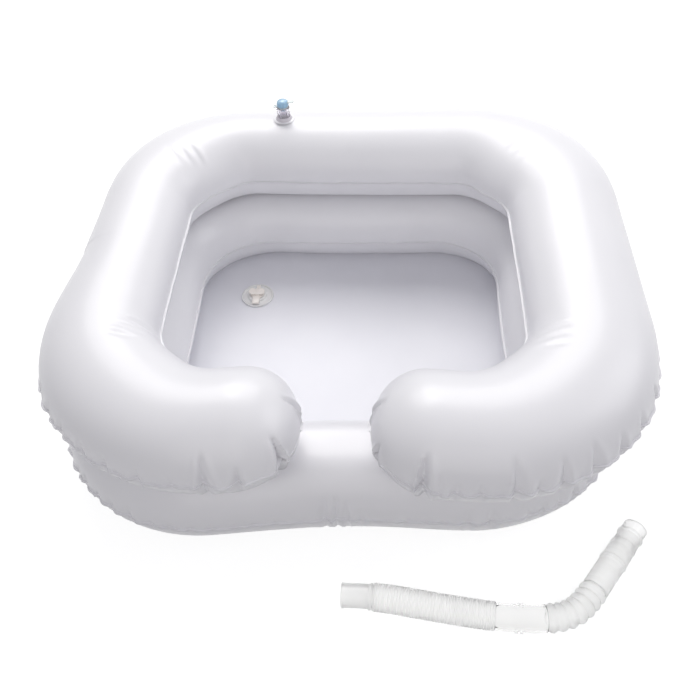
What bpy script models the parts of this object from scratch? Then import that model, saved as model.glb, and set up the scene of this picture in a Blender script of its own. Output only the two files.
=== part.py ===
"""Inflatable hair-washing basin with a neck notch, a floor drain and a loose drain hose.

Two air chambers are stacked. Each is made of a top and a bottom sheet, welded along a flange
round its inner and its outer edge. The lower chamber is a closed ring. The upper one is a C
whose two blunt ends leave room for the neck. A floor sheet is welded under the lower chamber.

Lengths are in metres. +Z is up, the neck notch is at -Y, and the origin is under the middle.
"""
import math

import bmesh
import bpy
from mathutils import Matrix, Vector

# Sheets and their welds
SHEET_T = 0.0008
SEAM_FLANGE = 0.004
FIT_GAP = 0.0003

# Heights of the seams and of the planes where the chambers press flat
LOWER_SEAM_Z = 0.0455
CONTACT_Z = 0.0895
UPPER_SEAM_Z = 0.134
UPPER_TOP_Z = 0.1805

# Plan of the upper chamber, measured on the middle line of its tube, and the share by which the
# tube is wider in the middle of a corner's turn
UPPER_HALF_WIDTH = 0.243
UPPER_HALF_DEPTH = 0.223
UPPER_SHIFT_Y = -0.003
UPPER_REAR_RADIUS = 0.126
UPPER_FRONT_RADIUS = 0.135
UPPER_TUBE_HALF = 0.0595
UPPER_CORNER_SWELL = 0.13

# Plan of the lower chamber, set in from the upper one, and how much slimmer its tube is
LOWER_INSET_X = 0.009
LOWER_INSET_Y = 0.0115
LOWER_SHIFT_Y = -0.0035
LOWER_SLIMMER = 0.0055
LOWER_REAR_RADIUS = 0.14
LOWER_FRONT_RADIUS = 0.105

# How far the middle of each side is drawn in by the air pressure
SIDE_WAIST = 0.003
UPPER_FRONT_WAIST = 0.016
LOWER_FRONT_WAIST = 0.0125
REAR_WAIST = 0.004

# Neck notch between the two ends of the upper chamber
NECK_GAP = 0.064
ARM_END_SHARE = 0.65
ARM_TIP_SHARE = 0.42

# Floor sheet
FLOOR_LAP = 0.008

# Air valve: welded flange with a boss, sliding stem, check flap, plug on a strap
VALVE_FLANGE_R = 0.013
VALVE_FLANGE_T = 0.0009
VALVE_BOSS_R = 0.0095
VALVE_BOSS_H = 0.004
VALVE_STEM_R = 0.0075
VALVE_BORE_R = 0.005
VALVE_SLIDE_GAP = 0.0003
VALVE_STEM_DOWN = 0.007
VALVE_BEAD_R = 0.0084
VALVE_BEAD_H = 0.0018
VALVE_FOOT_H = 0.0015
VALVE_FOOT_DROP = 0.004
VALVE_TRAVEL = 0.008
VALVE_FLAP_R = 0.0062
VALVE_FLAP_T = 0.0007
VALVE_HINGE_X = 0.0112
LUG_WIDTH = 0.005
LUG_HEIGHT = 0.003
PLUG_STUB_R = 0.0047
PLUG_STUB_TAPER = 0.0005
PLUG_STUB_LENGTH = 0.0035
PLUG_CAP_R = 0.0064
PLUG_CAP_H = 0.0075
PLUG_CAP_EDGE = 0.0018
STRAP_T = 0.0012
STRAP_WIDTH = 0.0045
STRAP_RING_WALL = 0.0016
TAB_LENGTH = 0.0135
TAB_WIDTH = 0.005
TAB_T = 0.0012
UPPER_VALVE_X = -0.085
LOWER_VALVE_X = -0.085

# Floor drain: flange with a neck through the floor, plug with two finger lobes, strap
DRAIN_FROM_SIDE = 0.058
DRAIN_FROM_REAR = 0.07
DRAIN_FLANGE_R = 0.02
DRAIN_FLANGE_T = 0.0016
DRAIN_COLLAR_R = 0.0115
DRAIN_COLLAR_H = 0.0022
DRAIN_NECK_R = 0.009
DRAIN_BORE_R = 0.0072
DRAIN_NECK_DROP = 0.0078
DRAIN_STUB_R = 0.0067
DRAIN_STUB_TAPER = 0.0007
DRAIN_STUB_LENGTH = 0.004
DRAIN_CAP_R = 0.0085
DRAIN_CAP_T = 0.0024
DRAIN_LOBE_R = 0.0052
DRAIN_LOBE_OFFSET = 0.0075
DRAIN_HINGE_Y = 0.0165
DRAIN_STRAP_WIDTH = 0.007
DRAIN_STRAP_T = 0.0013
DRAIN_LUG_H = 0.0017

# Drain hose, which lies beside the basin. Radii of its parts and places along its length
BELLOWS_R = 0.0135
BELLOWS_VALLEY_R = 0.0119
BELLOWS_BORE_R = 0.0107
LONG_VALLEY_R = 0.0116
CUFF_R = 0.0113
CUFF_BORE_R = 0.0096
CUFF_BEAD_R = 0.0124
OUTLET_CUFF_R = 0.0122
COUPLING_R = 0.0124
COUPLING_RING_R = 0.0131
INLET_CUFF_END = 0.0295
SHORT_BELLOWS_END = 0.1425
COUPLING_END = 0.189
LONG_BELLOWS_END = 0.305
SHORT_RIB_PITCH = 0.0027
LONG_RIB_PITCH = 0.0058
BEAD_LENGTH = 0.0016
BEAD_FROM_END = 0.0025
RING_PLACE = 0.019
RING_SPACING = 0.0045

# Route of the hose, left end first, as seen from the front of the basin
HOSE_ROUTE = [
    (0.0055, -0.3220), (0.0260, -0.3223), (0.0470, -0.3242), (0.0690, -0.3276), (0.0910, -0.3312),
    (0.1130, -0.3346), (0.1350, -0.3377), (0.1540, -0.3397), (0.1720, -0.3404), (0.1900, -0.3401),
    (0.2060, -0.3380), (0.2200, -0.3318), (0.2305, -0.3222), (0.2400, -0.3105), (0.2495, -0.2975),
    (0.2590, -0.2843), (0.2685, -0.2710), (0.2780, -0.2578), (0.2880, -0.2440),
]

# Counts
ARC_STEPS = 8
REAR_CORNER_STEPS = 8
FRONT_CORNER_STEPS = 8
REAR_STEPS = 2
SIDE_STEPS = 3
FRONT_STEPS = 2
ARM_STEPS = 2
ARM_END_STEPS = 5
ROUND_SEGMENTS = 20
DRAIN_SEGMENTS = 24
HOSE_SIDES = 10
BORE_STRIDE = 4
CURVE_STEPS = 24
SLOPE_SHARE = 0.001

WHITE_VINYL = (0.86, 0.86, 0.88)
FLOOR_VINYL = (0.83, 0.83, 0.85)
CLEAR_VINYL = (0.78, 0.80, 0.84)
BLUE_VINYL = (0.38, 0.60, 0.80)
CREAM_VINYL = (0.80, 0.77, 0.71)
HOSE_PLASTIC = (0.84, 0.84, 0.83)


def clear_scene():
    """Remove every object of the start-up scene."""
    for obj in list(bpy.data.objects):
        bpy.data.objects.remove(obj, do_unlink=True)


def make_material(name, colour, roughness, metallic=0.0):
    """Return a new Principled material."""
    material = bpy.data.materials.new(name)
    material.use_nodes = True
    shader = material.node_tree.nodes["Principled BSDF"]
    shader.inputs["Base Color"].default_value = (*colour, 1.0)
    shader.inputs["Roughness"].default_value = roughness
    shader.inputs["Metallic"].default_value = metallic
    material.diffuse_color = (*colour, 1.0)
    return material


def finish_mesh(name, bm, colour, roughness=0.4, matrix=None, parent=None, sharp=35.0):
    """Turn a bmesh into a named object with its own material and faces that point out."""
    bmesh.ops.recalc_face_normals(bm, faces=bm.faces)
    mesh = bpy.data.meshes.new(name)
    bm.to_mesh(mesh)
    bm.free()
    mesh.shade_smooth()
    mesh.set_sharp_from_angle(angle=math.radians(sharp))
    obj = bpy.data.objects.new(name, mesh)
    bpy.context.scene.collection.objects.link(obj)
    mesh.materials.append(make_material(name, colour, roughness))
    if parent is not None:
        obj.parent = parent
    elif matrix is not None:
        obj.matrix_world = matrix
    return obj


def make_empty(name, matrix, parent=None):
    """Return an empty that stands on a joint's axis."""
    empty = bpy.data.objects.new(name, None)
    bpy.context.scene.collection.objects.link(empty)
    empty.parent = parent
    empty.matrix_local = matrix
    return empty


def boolean(target, cutter, operation):
    """Add an exact Boolean to target and hide its cutter."""
    modifier = target.modifiers.new(operation.lower(), "BOOLEAN")
    modifier.operation = operation
    modifier.solver = "EXACT"
    modifier.object = cutter
    cutter.hide_render = True
    cutter.display_type = "WIRE"


def turned(profile, segments, closed):
    """Return a bmesh turned about Z. A closed profile is a ring, an open one ends on the axis."""
    bm = bmesh.new()
    columns = []
    poles = {}
    for step in range(segments):
        angle = 2 * math.pi * step / segments
        column = []
        for index, (radius, height) in enumerate(profile):
            if radius == 0 and index in poles:
                column.append(poles[index])
                continue
            vert = bm.verts.new((radius * math.cos(angle), radius * math.sin(angle), height))
            column.append(vert)
            if radius == 0:
                poles[index] = vert
        columns.append(column)
    count = len(profile)
    spans = count if closed else count - 1
    for step in range(segments):
        here, there = columns[step], columns[(step + 1) % segments]
        for index in range(spans):
            after = (index + 1) % count
            corners = [here[index], there[index], there[after], here[after]]
            bm.faces.new(list(dict.fromkeys(corners)))
    return bm


def box_mesh(low, high):
    """Return a bmesh box between two corners."""
    bm = bmesh.new()
    middle = [(a + b) / 2 for a, b in zip(low, high)]
    size = [b - a for a, b in zip(low, high)]
    bmesh.ops.create_cube(bm, size=1.0, matrix=Matrix.Translation(middle) @ Matrix.Diagonal((*size, 1.0)))
    return bm


def bell(value):
    """Return 1 in the middle of a side, falling smoothly to 0 at its ends."""
    return math.cos(math.pi / 2 * max(-1.0, min(1.0, value))) ** 2


class Plan:
    """Middle line of one chamber's tube, seen from above."""

    def __init__(self, half_width, half_depth, rear_radius, front_radius, front_waist, shift_y, swell=0.0):
        self.half_width = half_width
        self.half_depth = half_depth
        self.rear_radius = rear_radius
        self.front_radius = front_radius
        self.front_waist = front_waist
        self.shift_y = shift_y
        self.swell = swell

    def drawn_in(self, x, y):
        """Move a point of the plain rounded rectangle by the waists of the four sides."""
        across, along = x / self.half_width, y / self.half_depth
        waist_y = REAR_WAIST if y > 0 else self.front_waist
        return Vector((x - SIDE_WAIST * bell(along) * across * abs(across),
                       y - waist_y * bell(across) * along * abs(along) + self.shift_y))

    def frame(self, x, y, tangent, turn=0.0):
        """Return a point of the middle line, its outward direction and the share of the tube's width.

        The sheets are cut so that the tube is wider in the middle of a corner's turn.
        """
        step = self.half_width * SLOPE_SHARE
        ahead = self.drawn_in(x + tangent[0] * step, y + tangent[1] * step)
        behind = self.drawn_in(x - tangent[0] * step, y - tangent[1] * step)
        run = (ahead - behind).normalized()
        return self.drawn_in(x, y), Vector((-run.y, run.x)), 1 + self.swell * math.sin(2 * turn) ** 2

    def front_frame(self, x):
        """Return the frame at a place on the straight front run."""
        return self.frame(x, -self.half_depth, (-1.0, 0.0))

    def right_half(self):
        """Return frames from the middle of the rear, clockwise to the end of the front corner."""
        frames = []
        rear_x = self.half_width - self.rear_radius
        rear_y = self.half_depth - self.rear_radius
        front_x = self.half_width - self.front_radius
        front_y = self.half_depth - self.front_radius
        for step in range(REAR_STEPS):
            frames.append(self.frame(rear_x * step / REAR_STEPS, self.half_depth, (1.0, 0.0)))
        for step in range(REAR_CORNER_STEPS):
            turn = math.pi / 2 * (1 - step / REAR_CORNER_STEPS)
            frames.append(self.frame(rear_x + self.rear_radius * math.cos(turn),
                                     rear_y + self.rear_radius * math.sin(turn),
                                     (math.sin(turn), -math.cos(turn)), turn))
        for step in range(SIDE_STEPS):
            y = rear_y - (rear_y + front_y) * step / SIDE_STEPS
            frames.append(self.frame(self.half_width, y, (0.0, -1.0)))
        for step in range(FRONT_CORNER_STEPS + 1):
            turn = -math.pi / 2 * step / FRONT_CORNER_STEPS
            frames.append(self.frame(front_x + self.front_radius * math.cos(turn),
                                     -front_y + self.front_radius * math.sin(turn),
                                     (math.sin(turn), -math.cos(turn)), turn))
        return frames

    def closed_frames(self):
        """Return the frames of the whole ring, clockwise."""
        right = self.right_half()
        front_x = self.half_width - self.front_radius
        for step in range(1, FRONT_STEPS + 1):
            right.append(self.front_frame(front_x * (1 - step / FRONT_STEPS)))
        return right + [mirrored(frame) for frame in reversed(right[1:-1])]


def mirrored(frame):
    """Mirror a frame in the middle plane."""
    point, outward, share = frame
    return Vector((-point.x, point.y)), Vector((-outward.x, outward.y)), share


def place(frame, across, height):
    """Return the 3-D point at a distance outward of a frame and at a height."""
    point, outward, share = frame
    flat = point + outward * across * share
    return Vector((flat.x, flat.y, height))


class Sheet:
    """One formed sheet of a chamber: a half tube with a weld flange along each edge."""

    def __init__(self, tube_half, seam_z, limit_z, side, pressed):
        self.tube_half = tube_half
        self.seam_z = seam_z
        self.limit_z = limit_z
        self.side = side
        self.pressed = pressed
        room = abs(limit_z - seam_z) - FIT_GAP / 2 - SHEET_T
        self.rise = room / math.sin(math.pi / 2 - math.pi / ARC_STEPS) if pressed else room

    def height(self, level, outside):
        """Return the height of a point that lies level above or below the weld."""
        lift = FIT_GAP / 2 + level + (SHEET_T if outside else 0.0)
        room = abs(self.limit_z - self.seam_z) - (0.0 if outside else SHEET_T)
        return self.seam_z + self.side * min(lift, room)

    def columns(self, share_width, share_rise, outside):
        """Return (across, height) from the inner flange tip to the outer flange tip."""
        half = self.tube_half * share_width
        inset = 0.0 if outside else SHEET_T
        tip = half + SEAM_FLANGE
        row = [(-tip, self.height(0.0, outside))]
        for step in range(ARC_STEPS + 1):
            angle = math.pi * step / ARC_STEPS
            level = self.rise * share_rise * math.sin(angle) if 0 < step < ARC_STEPS else 0.0
            row.append((-(half - inset) * math.cos(angle), self.height(level, outside)))
        row.append((tip, self.height(0.0, outside)))
        return row

    def loop(self, frame, inner_frame, share_width=1.0, share_rise=1.0):
        """Return the closed loop of points of one section of the sheet."""
        outer = [place(frame, *point) for point in self.columns(share_width, share_rise, True)]
        inner = [place(inner_frame, *point) for point in self.columns(share_width, share_rise, False)]
        return outer + inner[::-1]


def skin_loops(loops, closed):
    """Join section loops into one closed body."""
    bm = bmesh.new()
    rows = [[bm.verts.new(point) for point in loop] for loop in loops]
    count = len(rows[0])
    last = len(rows) if closed else len(rows) - 1
    for index in range(last):
        here, there = rows[index], rows[(index + 1) % len(rows)]
        for step in range(count):
            after = (step + 1) % count
            bm.faces.new((here[step], here[after], there[after], there[step]))
    if not closed:
        for row in (rows[0], rows[-1]):
            for step in range(count // 2 - 1):
                bm.faces.new((row[step], row[step + 1], row[count - 2 - step], row[count - 1 - step]))
    return bm


def ring_sheet(name, plan, sheet, colour):
    """Build a sheet of the closed lower chamber."""
    loops = [sheet.loop(frame, frame) for frame in plan.closed_frames()]
    return finish_mesh(name, skin_loops(loops, True), colour)


def arm_loops(plan, sheet):
    """Return the loops of the right arm of the C, from its front corner to its blunt end."""
    front_x = plan.half_width - plan.front_radius
    tip_x = NECK_GAP / 2 + SEAM_FLANGE
    end_length = ARM_END_SHARE * (front_x - tip_x)
    full_x = tip_x + end_length
    loops = []
    for step in range(1, ARM_STEPS):
        frame = plan.front_frame(front_x + (full_x - front_x) * step / ARM_STEPS)
        loops.append(sheet.loop(frame, frame))
    for step in range(ARM_END_STEPS + 1):
        turn = math.pi / 2 * (1 - step / ARM_END_STEPS)
        width = ARM_TIP_SHARE + (1 - ARM_TIP_SHARE) * math.sin(turn)
        outer = plan.front_frame(full_x - end_length * math.cos(turn))
        inner = plan.front_frame(full_x - (end_length - SHEET_T) * math.cos(turn))
        loops.append(sheet.loop(outer, inner, width, math.sin(turn)))
    frame = plan.front_frame(tip_x - SEAM_FLANGE)
    loops.append(sheet.loop(frame, frame, ARM_TIP_SHARE, 0.0))
    return loops


def mirrored_loop(loop):
    """Mirror the points of a loop in the middle plane."""
    return [Vector((-point.x, point.y, point.z)) for point in loop]


def arm_sheet(name, plan, sheet, colour):
    """Build a sheet of the C-shaped upper chamber."""
    right = [sheet.loop(frame, frame) for frame in plan.right_half()] + arm_loops(plan, sheet)
    left = [mirrored_loop(loop) for loop in reversed(right[1:])]
    return finish_mesh(name, skin_loops(left + right, False), colour)


def floor_sheet(plan, sheet):
    """Build the floor panel with its lap under the lower chamber. Return it and its top height."""
    columns = sheet.columns(1.0, 1.0, True)
    quarter = 1 + ARC_STEPS // 4
    start, end = Vector(columns[quarter]), Vector(columns[quarter + 1])
    run = (end - start).normalized()
    away = Vector((run.y, -run.x))
    top_z = (start + away * FIT_GAP).y
    lap = run * FLOOR_LAP
    bm = bmesh.new()
    rims = [[], [], [], []]
    for frame in plan.closed_frames():
        corner = start + away * FIT_GAP
        under = corner.copy()
        under.y -= SHEET_T
        for rim, spot in zip(rims, (corner, corner + lap, corner + lap + away * SHEET_T, under)):
            rim.append(bm.verts.new(place(frame, spot.x, spot.y)))
    count = len(rims[0])
    bm.faces.new(rims[0])
    bm.faces.new(rims[3])
    for upper, lower in zip(rims, rims[1:]):
        for step in range(count):
            after = (step + 1) % count
            bm.faces.new((upper[step], upper[after], lower[after], lower[step]))
    return finish_mesh("floor_sheet", bm, FLOOR_VINYL), top_z


def hole_cutter(name, radius, half_length, matrix):
    """Return a hidden round cutter along the local Z of a matrix."""
    profile = [(0.0, -half_length), (radius, -half_length), (radius, half_length), (0.0, half_length)]
    return finish_mesh(name, turned(profile, ROUND_SEGMENTS, False), CLEAR_VINYL, matrix=matrix)


def hinged_strap(name, colour, reach, hole_r, width, thick, low, parent, axis, segments):
    """Build a flat strap with a ring round the plug at the origin and an end at its hinge."""
    outer_r = hole_r + STRAP_RING_WALL
    profile = [(hole_r, low), (outer_r, low), (outer_r, low + thick), (hole_r, low + thick)]
    ring = finish_mesh(name, turned(profile, segments, True), colour, parent=parent)
    start = (hole_r + outer_r) / 2
    corners = [(start * axis[0], start * axis[1]), (reach * axis[0], reach * axis[1])]
    side = (abs(axis[1]) * width / 2, abs(axis[0]) * width / 2)
    low_corner = [min(a[k] for a in corners) - side[k] for k in (0, 1)] + [low]
    high_corner = [max(a[k] for a in corners) + side[k] for k in (0, 1)] + [low + thick]
    strip = finish_mesh(name + "_strip", box_mesh(low_corner, high_corner), colour, parent=parent)
    boolean(ring, strip, "UNION")
    return ring


def air_valve(prefix, base):
    """Build one air valve. base has its origin on the sheet's outside and Z pointing out."""
    seat = FIT_GAP
    flange_top = seat + VALVE_FLANGE_T
    boss_top = flange_top + VALVE_BOSS_H
    stem_top = boss_top + VALVE_TRAVEL + LUG_HEIGHT + FIT_GAP
    slide_r = VALVE_STEM_R + VALVE_SLIDE_GAP
    flange_profile = [(slide_r, seat), (VALVE_FLANGE_R, seat), (VALVE_FLANGE_R, flange_top),
                      (VALVE_BOSS_R + VALVE_FLANGE_T, flange_top),
                      (VALVE_BOSS_R, flange_top + VALVE_FLANGE_T),
                      (VALVE_BOSS_R, boss_top), (slide_r, boss_top)]
    finish_mesh(prefix + "_valve_flange", turned(flange_profile, ROUND_SEGMENTS, True), CLEAR_VINYL,
                matrix=base)

    slide = make_empty(prefix + "_valve_slide_axis", base)
    foot_top = -VALVE_FOOT_DROP + VALVE_FOOT_H
    stem_profile = [(VALVE_BORE_R, -VALVE_STEM_DOWN), (VALVE_STEM_R, -VALVE_STEM_DOWN),
                    (VALVE_STEM_R, -VALVE_FOOT_DROP), (VALVE_BEAD_R, -VALVE_FOOT_DROP),
                    (VALVE_BEAD_R, foot_top), (VALVE_STEM_R, foot_top),
                    (VALVE_STEM_R, stem_top - VALVE_BEAD_H),
                    (VALVE_BEAD_R, stem_top - VALVE_BEAD_H / 2), (VALVE_BEAD_R, stem_top),
                    (VALVE_BORE_R, stem_top)]
    stem = finish_mesh(prefix + "_valve_stem", turned(stem_profile, ROUND_SEGMENTS, True), CLEAR_VINYL,
                       roughness=0.25, parent=slide)
    lug_inside = (VALVE_BORE_R + VALVE_STEM_R) / 2
    lug = box_mesh((-VALVE_HINGE_X, -LUG_WIDTH / 2, stem_top - LUG_HEIGHT),
                   (-lug_inside, LUG_WIDTH / 2, stem_top - FIT_GAP))
    boolean(stem, finish_mesh(prefix + "_valve_lug", lug, CLEAR_VINYL, parent=slide), "UNION")

    flap_top = -VALVE_STEM_DOWN - FIT_GAP
    flap_hinge = make_empty(prefix + "_valve_flap_axis",
                            Matrix.Translation((-VALVE_FLAP_R, 0.0, flap_top)), slide)
    flap = turned([(0.0, -VALVE_FLAP_T), (VALVE_FLAP_R, -VALVE_FLAP_T), (VALVE_FLAP_R, 0.0), (0.0, 0.0)],
                  ROUND_SEGMENTS, False)
    bmesh.ops.translate(flap, verts=flap.verts, vec=(VALVE_FLAP_R, 0.0, 0.0))
    finish_mesh(prefix + "_valve_flap", flap, CLEAR_VINYL, parent=flap_hinge)

    hinge = make_empty(prefix + "_valve_plug_axis",
                       Matrix.Translation((-VALVE_HINGE_X, 0.0, stem_top)), slide)
    centre = make_empty(prefix + "_valve_plug_centre", Matrix.Translation((VALVE_HINGE_X, 0.0, 0.0)), hinge)
    ring_low = FIT_GAP
    cap_low = ring_low + STRAP_T + FIT_GAP
    cap_top = cap_low + PLUG_CAP_H
    plug_profile = [(0.0, -PLUG_STUB_LENGTH), (PLUG_STUB_R - PLUG_STUB_TAPER, -PLUG_STUB_LENGTH),
                    (PLUG_STUB_R, -PLUG_STUB_LENGTH / 2), (PLUG_STUB_R, cap_low), (PLUG_CAP_R, cap_low),
                    (PLUG_CAP_R, cap_top - PLUG_CAP_EDGE), (PLUG_CAP_R - PLUG_CAP_EDGE, cap_top),
                    (0.0, cap_top)]
    plug = finish_mesh(prefix + "_valve_plug", turned(plug_profile, ROUND_SEGMENTS, False), BLUE_VINYL,
                       roughness=0.3, parent=centre)
    tab_low = cap_top - PLUG_CAP_EDGE - TAB_T
    tab = box_mesh((0.0, -TAB_WIDTH / 2, tab_low), (TAB_LENGTH, TAB_WIDTH / 2, tab_low + TAB_T))
    boolean(plug, finish_mesh(prefix + "_valve_tab", tab, BLUE_VINYL, parent=centre), "UNION")
    hinged_strap(prefix + "_valve_strap", CLEAR_VINYL, VALVE_HINGE_X, PLUG_STUB_R + FIT_GAP,
                 STRAP_WIDTH, STRAP_T, ring_low, centre, (-1.0, 0.0), ROUND_SEGMENTS)


def floor_drain(floor, plan, tube_half, top_z):
    """Build the drain fitting that is welded to the floor sheet, in its rear left corner."""
    drain_x = DRAIN_FROM_SIDE + tube_half - plan.half_width
    drain_y = plan.half_depth + plan.shift_y - tube_half - DRAIN_FROM_REAR
    base = Matrix.Translation((drain_x, drain_y, top_z))
    hole_r = DRAIN_NECK_R + FIT_GAP
    boolean(floor, hole_cutter("drain_hole", hole_r, DRAIN_NECK_DROP, base), "DIFFERENCE")
    seat = FIT_GAP
    flange_top = seat + DRAIN_FLANGE_T
    collar_top = flange_top + DRAIN_COLLAR_H
    profile = [(DRAIN_BORE_R, -DRAIN_NECK_DROP), (DRAIN_NECK_R, -DRAIN_NECK_DROP), (DRAIN_NECK_R, seat),
               (DRAIN_FLANGE_R, seat), (DRAIN_FLANGE_R - DRAIN_FLANGE_T / 2, flange_top),
               (DRAIN_COLLAR_R, flange_top), (DRAIN_COLLAR_R, collar_top), (DRAIN_BORE_R, collar_top)]
    flange = finish_mesh("drain_flange", turned(profile, DRAIN_SEGMENTS, True), CREAM_VINYL, matrix=base)
    lug_top = collar_top + FIT_GAP
    lug = box_mesh((-DRAIN_STRAP_WIDTH / 2, -DRAIN_HINGE_Y, flange_top - DRAIN_FLANGE_T / 2),
                   (DRAIN_STRAP_WIDTH / 2, -DRAIN_HINGE_Y + DRAIN_LUG_H, collar_top))
    boolean(flange, finish_mesh("drain_lug", lug, CREAM_VINYL, matrix=base), "UNION")

    hinge = make_empty("drain_plug_axis", base @ Matrix.Translation((0.0, -DRAIN_HINGE_Y, collar_top)))
    centre = make_empty("drain_plug_centre", Matrix.Translation((0.0, DRAIN_HINGE_Y, 0.0)), hinge)
    ring_low = lug_top - collar_top
    cap_low = ring_low + DRAIN_STRAP_T + FIT_GAP
    cap_top = cap_low + DRAIN_CAP_T
    plug_profile = [(0.0, -DRAIN_STUB_LENGTH), (DRAIN_STUB_R - DRAIN_STUB_TAPER, -DRAIN_STUB_LENGTH),
                    (DRAIN_STUB_R, 0.0), (DRAIN_STUB_R, cap_low), (DRAIN_CAP_R, cap_low),
                    (DRAIN_CAP_R, cap_top), (0.0, cap_top)]
    plug = finish_mesh("drain_plug", turned(plug_profile, DRAIN_SEGMENTS, False), CREAM_VINYL, parent=centre)
    for side, word in ((-1, "left"), (1, "right")):
        lobe_profile = [(0.0, 0.0), (DRAIN_LOBE_R, 0.0), (DRAIN_LOBE_R, DRAIN_CAP_T), (0.0, DRAIN_CAP_T)]
        lobe = turned(lobe_profile, DRAIN_SEGMENTS, False)
        shift = (side * DRAIN_LOBE_OFFSET, DRAIN_LOBE_R / 2, cap_low + DRAIN_CAP_T / 2)
        bmesh.ops.translate(lobe, verts=lobe.verts, vec=shift)
        boolean(plug, finish_mesh("drain_lobe_" + word, lobe, CREAM_VINYL, parent=centre), "UNION")
    hinged_strap("drain_strap", CREAM_VINYL, DRAIN_HINGE_Y, DRAIN_STUB_R + FIT_GAP, DRAIN_STRAP_WIDTH,
                 DRAIN_STRAP_T, ring_low, centre, (0.0, -1.0), DRAIN_SEGMENTS)


class Route:
    """Smooth curve through the hose's own points, read by length."""

    def __init__(self, points, height):
        ends = [2 * Vector(points[0]) - Vector(points[1])] + [Vector(p) for p in points]
        ends.append(2 * Vector(points[-1]) - Vector(points[-2]))
        self.samples = []
        for before, start, end, after in zip(ends, ends[1:], ends[2:], ends[3:]):
            for step in range(CURVE_STEPS):
                share = step / CURVE_STEPS
                self.samples.append(catmull(before, start, end, after, share))
        self.samples.append(ends[-2])
        self.height = height
        self.lengths = [0.0]
        for here, there in zip(self.samples, self.samples[1:]):
            self.lengths.append(self.lengths[-1] + (there - here).length)

    def point(self, length):
        """Return the 3-D point at a length along the route."""
        index = max(k for k, value in enumerate(self.lengths[:-1]) if value <= max(length, 0.0))
        span = self.lengths[index + 1] - self.lengths[index]
        flat = self.samples[index].lerp(self.samples[index + 1], (length - self.lengths[index]) / span)
        return Vector((flat.x, flat.y, self.height))

    def tangent(self, length):
        """Return the direction of the route at a length."""
        step = self.lengths[-1] / len(self.lengths)
        return (self.point(length + step) - self.point(length - step)).normalized()


def catmull(before, start, end, after, share):
    """Return a point of the smooth curve between start and end."""
    return 0.5 * (2 * start + (end - before) * share
                  + (2 * before - 5 * start + 4 * end - after) * share ** 2
                  + (3 * start - before - 3 * end + after) * share ** 3)


def hose_piece(name, route, stations, bore_r):
    """Build one piece of the hose with its bore from (length, radius) stations."""
    bm = bmesh.new()

    def ring(length, radius):
        middle, run = route.point(length), route.tangent(length)
        side = Vector((-run.y, run.x, 0.0))
        up = Vector((0.0, 0.0, 1.0))
        turns = [2 * math.pi * (k + 0.5) / HOSE_SIDES for k in range(HOSE_SIDES)]
        return [bm.verts.new(middle + (side * math.cos(a) + up * math.sin(a)) * radius) for a in turns]

    outer = [ring(length, radius) for length, radius in stations]
    inner_lengths = [length for length, _ in stations[:-1:BORE_STRIDE]] + [stations[-1][0]]
    inner = [ring(length, bore_r) for length in inner_lengths]
    for rows in (outer, inner):
        for here, there in zip(rows, rows[1:]):
            for k in range(HOSE_SIDES):
                after = (k + 1) % HOSE_SIDES
                bm.faces.new((here[k], here[after], there[after], there[k]))
    for near, far in ((outer[0], inner[0]), (outer[-1], inner[-1])):
        for k in range(HOSE_SIDES):
            after = (k + 1) % HOSE_SIDES
            bm.faces.new((near[k], near[after], far[after], far[k]))
    return finish_mesh(name, bm, HOSE_PLASTIC, roughness=0.35, sharp=60.0)


def ribbed_stations(start, end, pitch, valley_r, flat_run):
    """Return stations of a bellows: a plain collar at each end, and ribs in between."""
    count = round((end - start - 2 * flat_run) / pitch)
    first = start + flat_run
    step = (end - start - 2 * flat_run) / count
    stations = [(start, valley_r)]
    for k in range(count):
        stations.append((first + step * k, valley_r))
        stations.append((first + step * (k + 0.5), BELLOWS_R))
    stations.append((end - flat_run, valley_r))
    stations.append((end, valley_r))
    return stations


def banded_stations(start, end, radius, band_r, band_starts):
    """Return stations of a plain tube with raised bands."""
    stations = [(start, radius)]
    for place_at in band_starts:
        stations += [(place_at, radius), (place_at + BEAD_LENGTH / 4, band_r),
                     (place_at + BEAD_LENGTH * 3 / 4, band_r), (place_at + BEAD_LENGTH, radius)]
    stations.append((end, radius))
    return stations


def drain_hose():
    """Build the hose that lies beside the basin, cuff to cuff."""
    route = Route(HOSE_ROUTE, BELLOWS_R)
    total = route.lengths[-1]
    cuff_bead = INLET_CUFF_END - BEAD_FROM_END
    hose_piece("hose_inlet_cuff", route,
               banded_stations(0.0, INLET_CUFF_END - FIT_GAP, CUFF_R, CUFF_BEAD_R, [cuff_bead]), CUFF_BORE_R)
    hose_piece("hose_short_bellows", route,
               ribbed_stations(INLET_CUFF_END, SHORT_BELLOWS_END - FIT_GAP, SHORT_RIB_PITCH,
                               BELLOWS_VALLEY_R, SHORT_RIB_PITCH), BELLOWS_BORE_R)
    rings = [SHORT_BELLOWS_END + RING_PLACE, SHORT_BELLOWS_END + RING_PLACE + RING_SPACING]
    hose_piece("hose_coupling", route,
               banded_stations(SHORT_BELLOWS_END, COUPLING_END - FIT_GAP, COUPLING_R, COUPLING_RING_R, rings),
               BELLOWS_BORE_R)
    hose_piece("hose_long_bellows", route,
               ribbed_stations(COUPLING_END, LONG_BELLOWS_END - FIT_GAP, LONG_RIB_PITCH,
                               LONG_VALLEY_R, LONG_RIB_PITCH / 2), BELLOWS_BORE_R)
    outlet_bead = LONG_BELLOWS_END + BEAD_FROM_END
    hose_piece("hose_outlet_cuff", route,
               banded_stations(LONG_BELLOWS_END, total, OUTLET_CUFF_R, BELLOWS_R, [outlet_bead]), CUFF_BORE_R)
    print("hose length in metres", round(total, 4))


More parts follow.
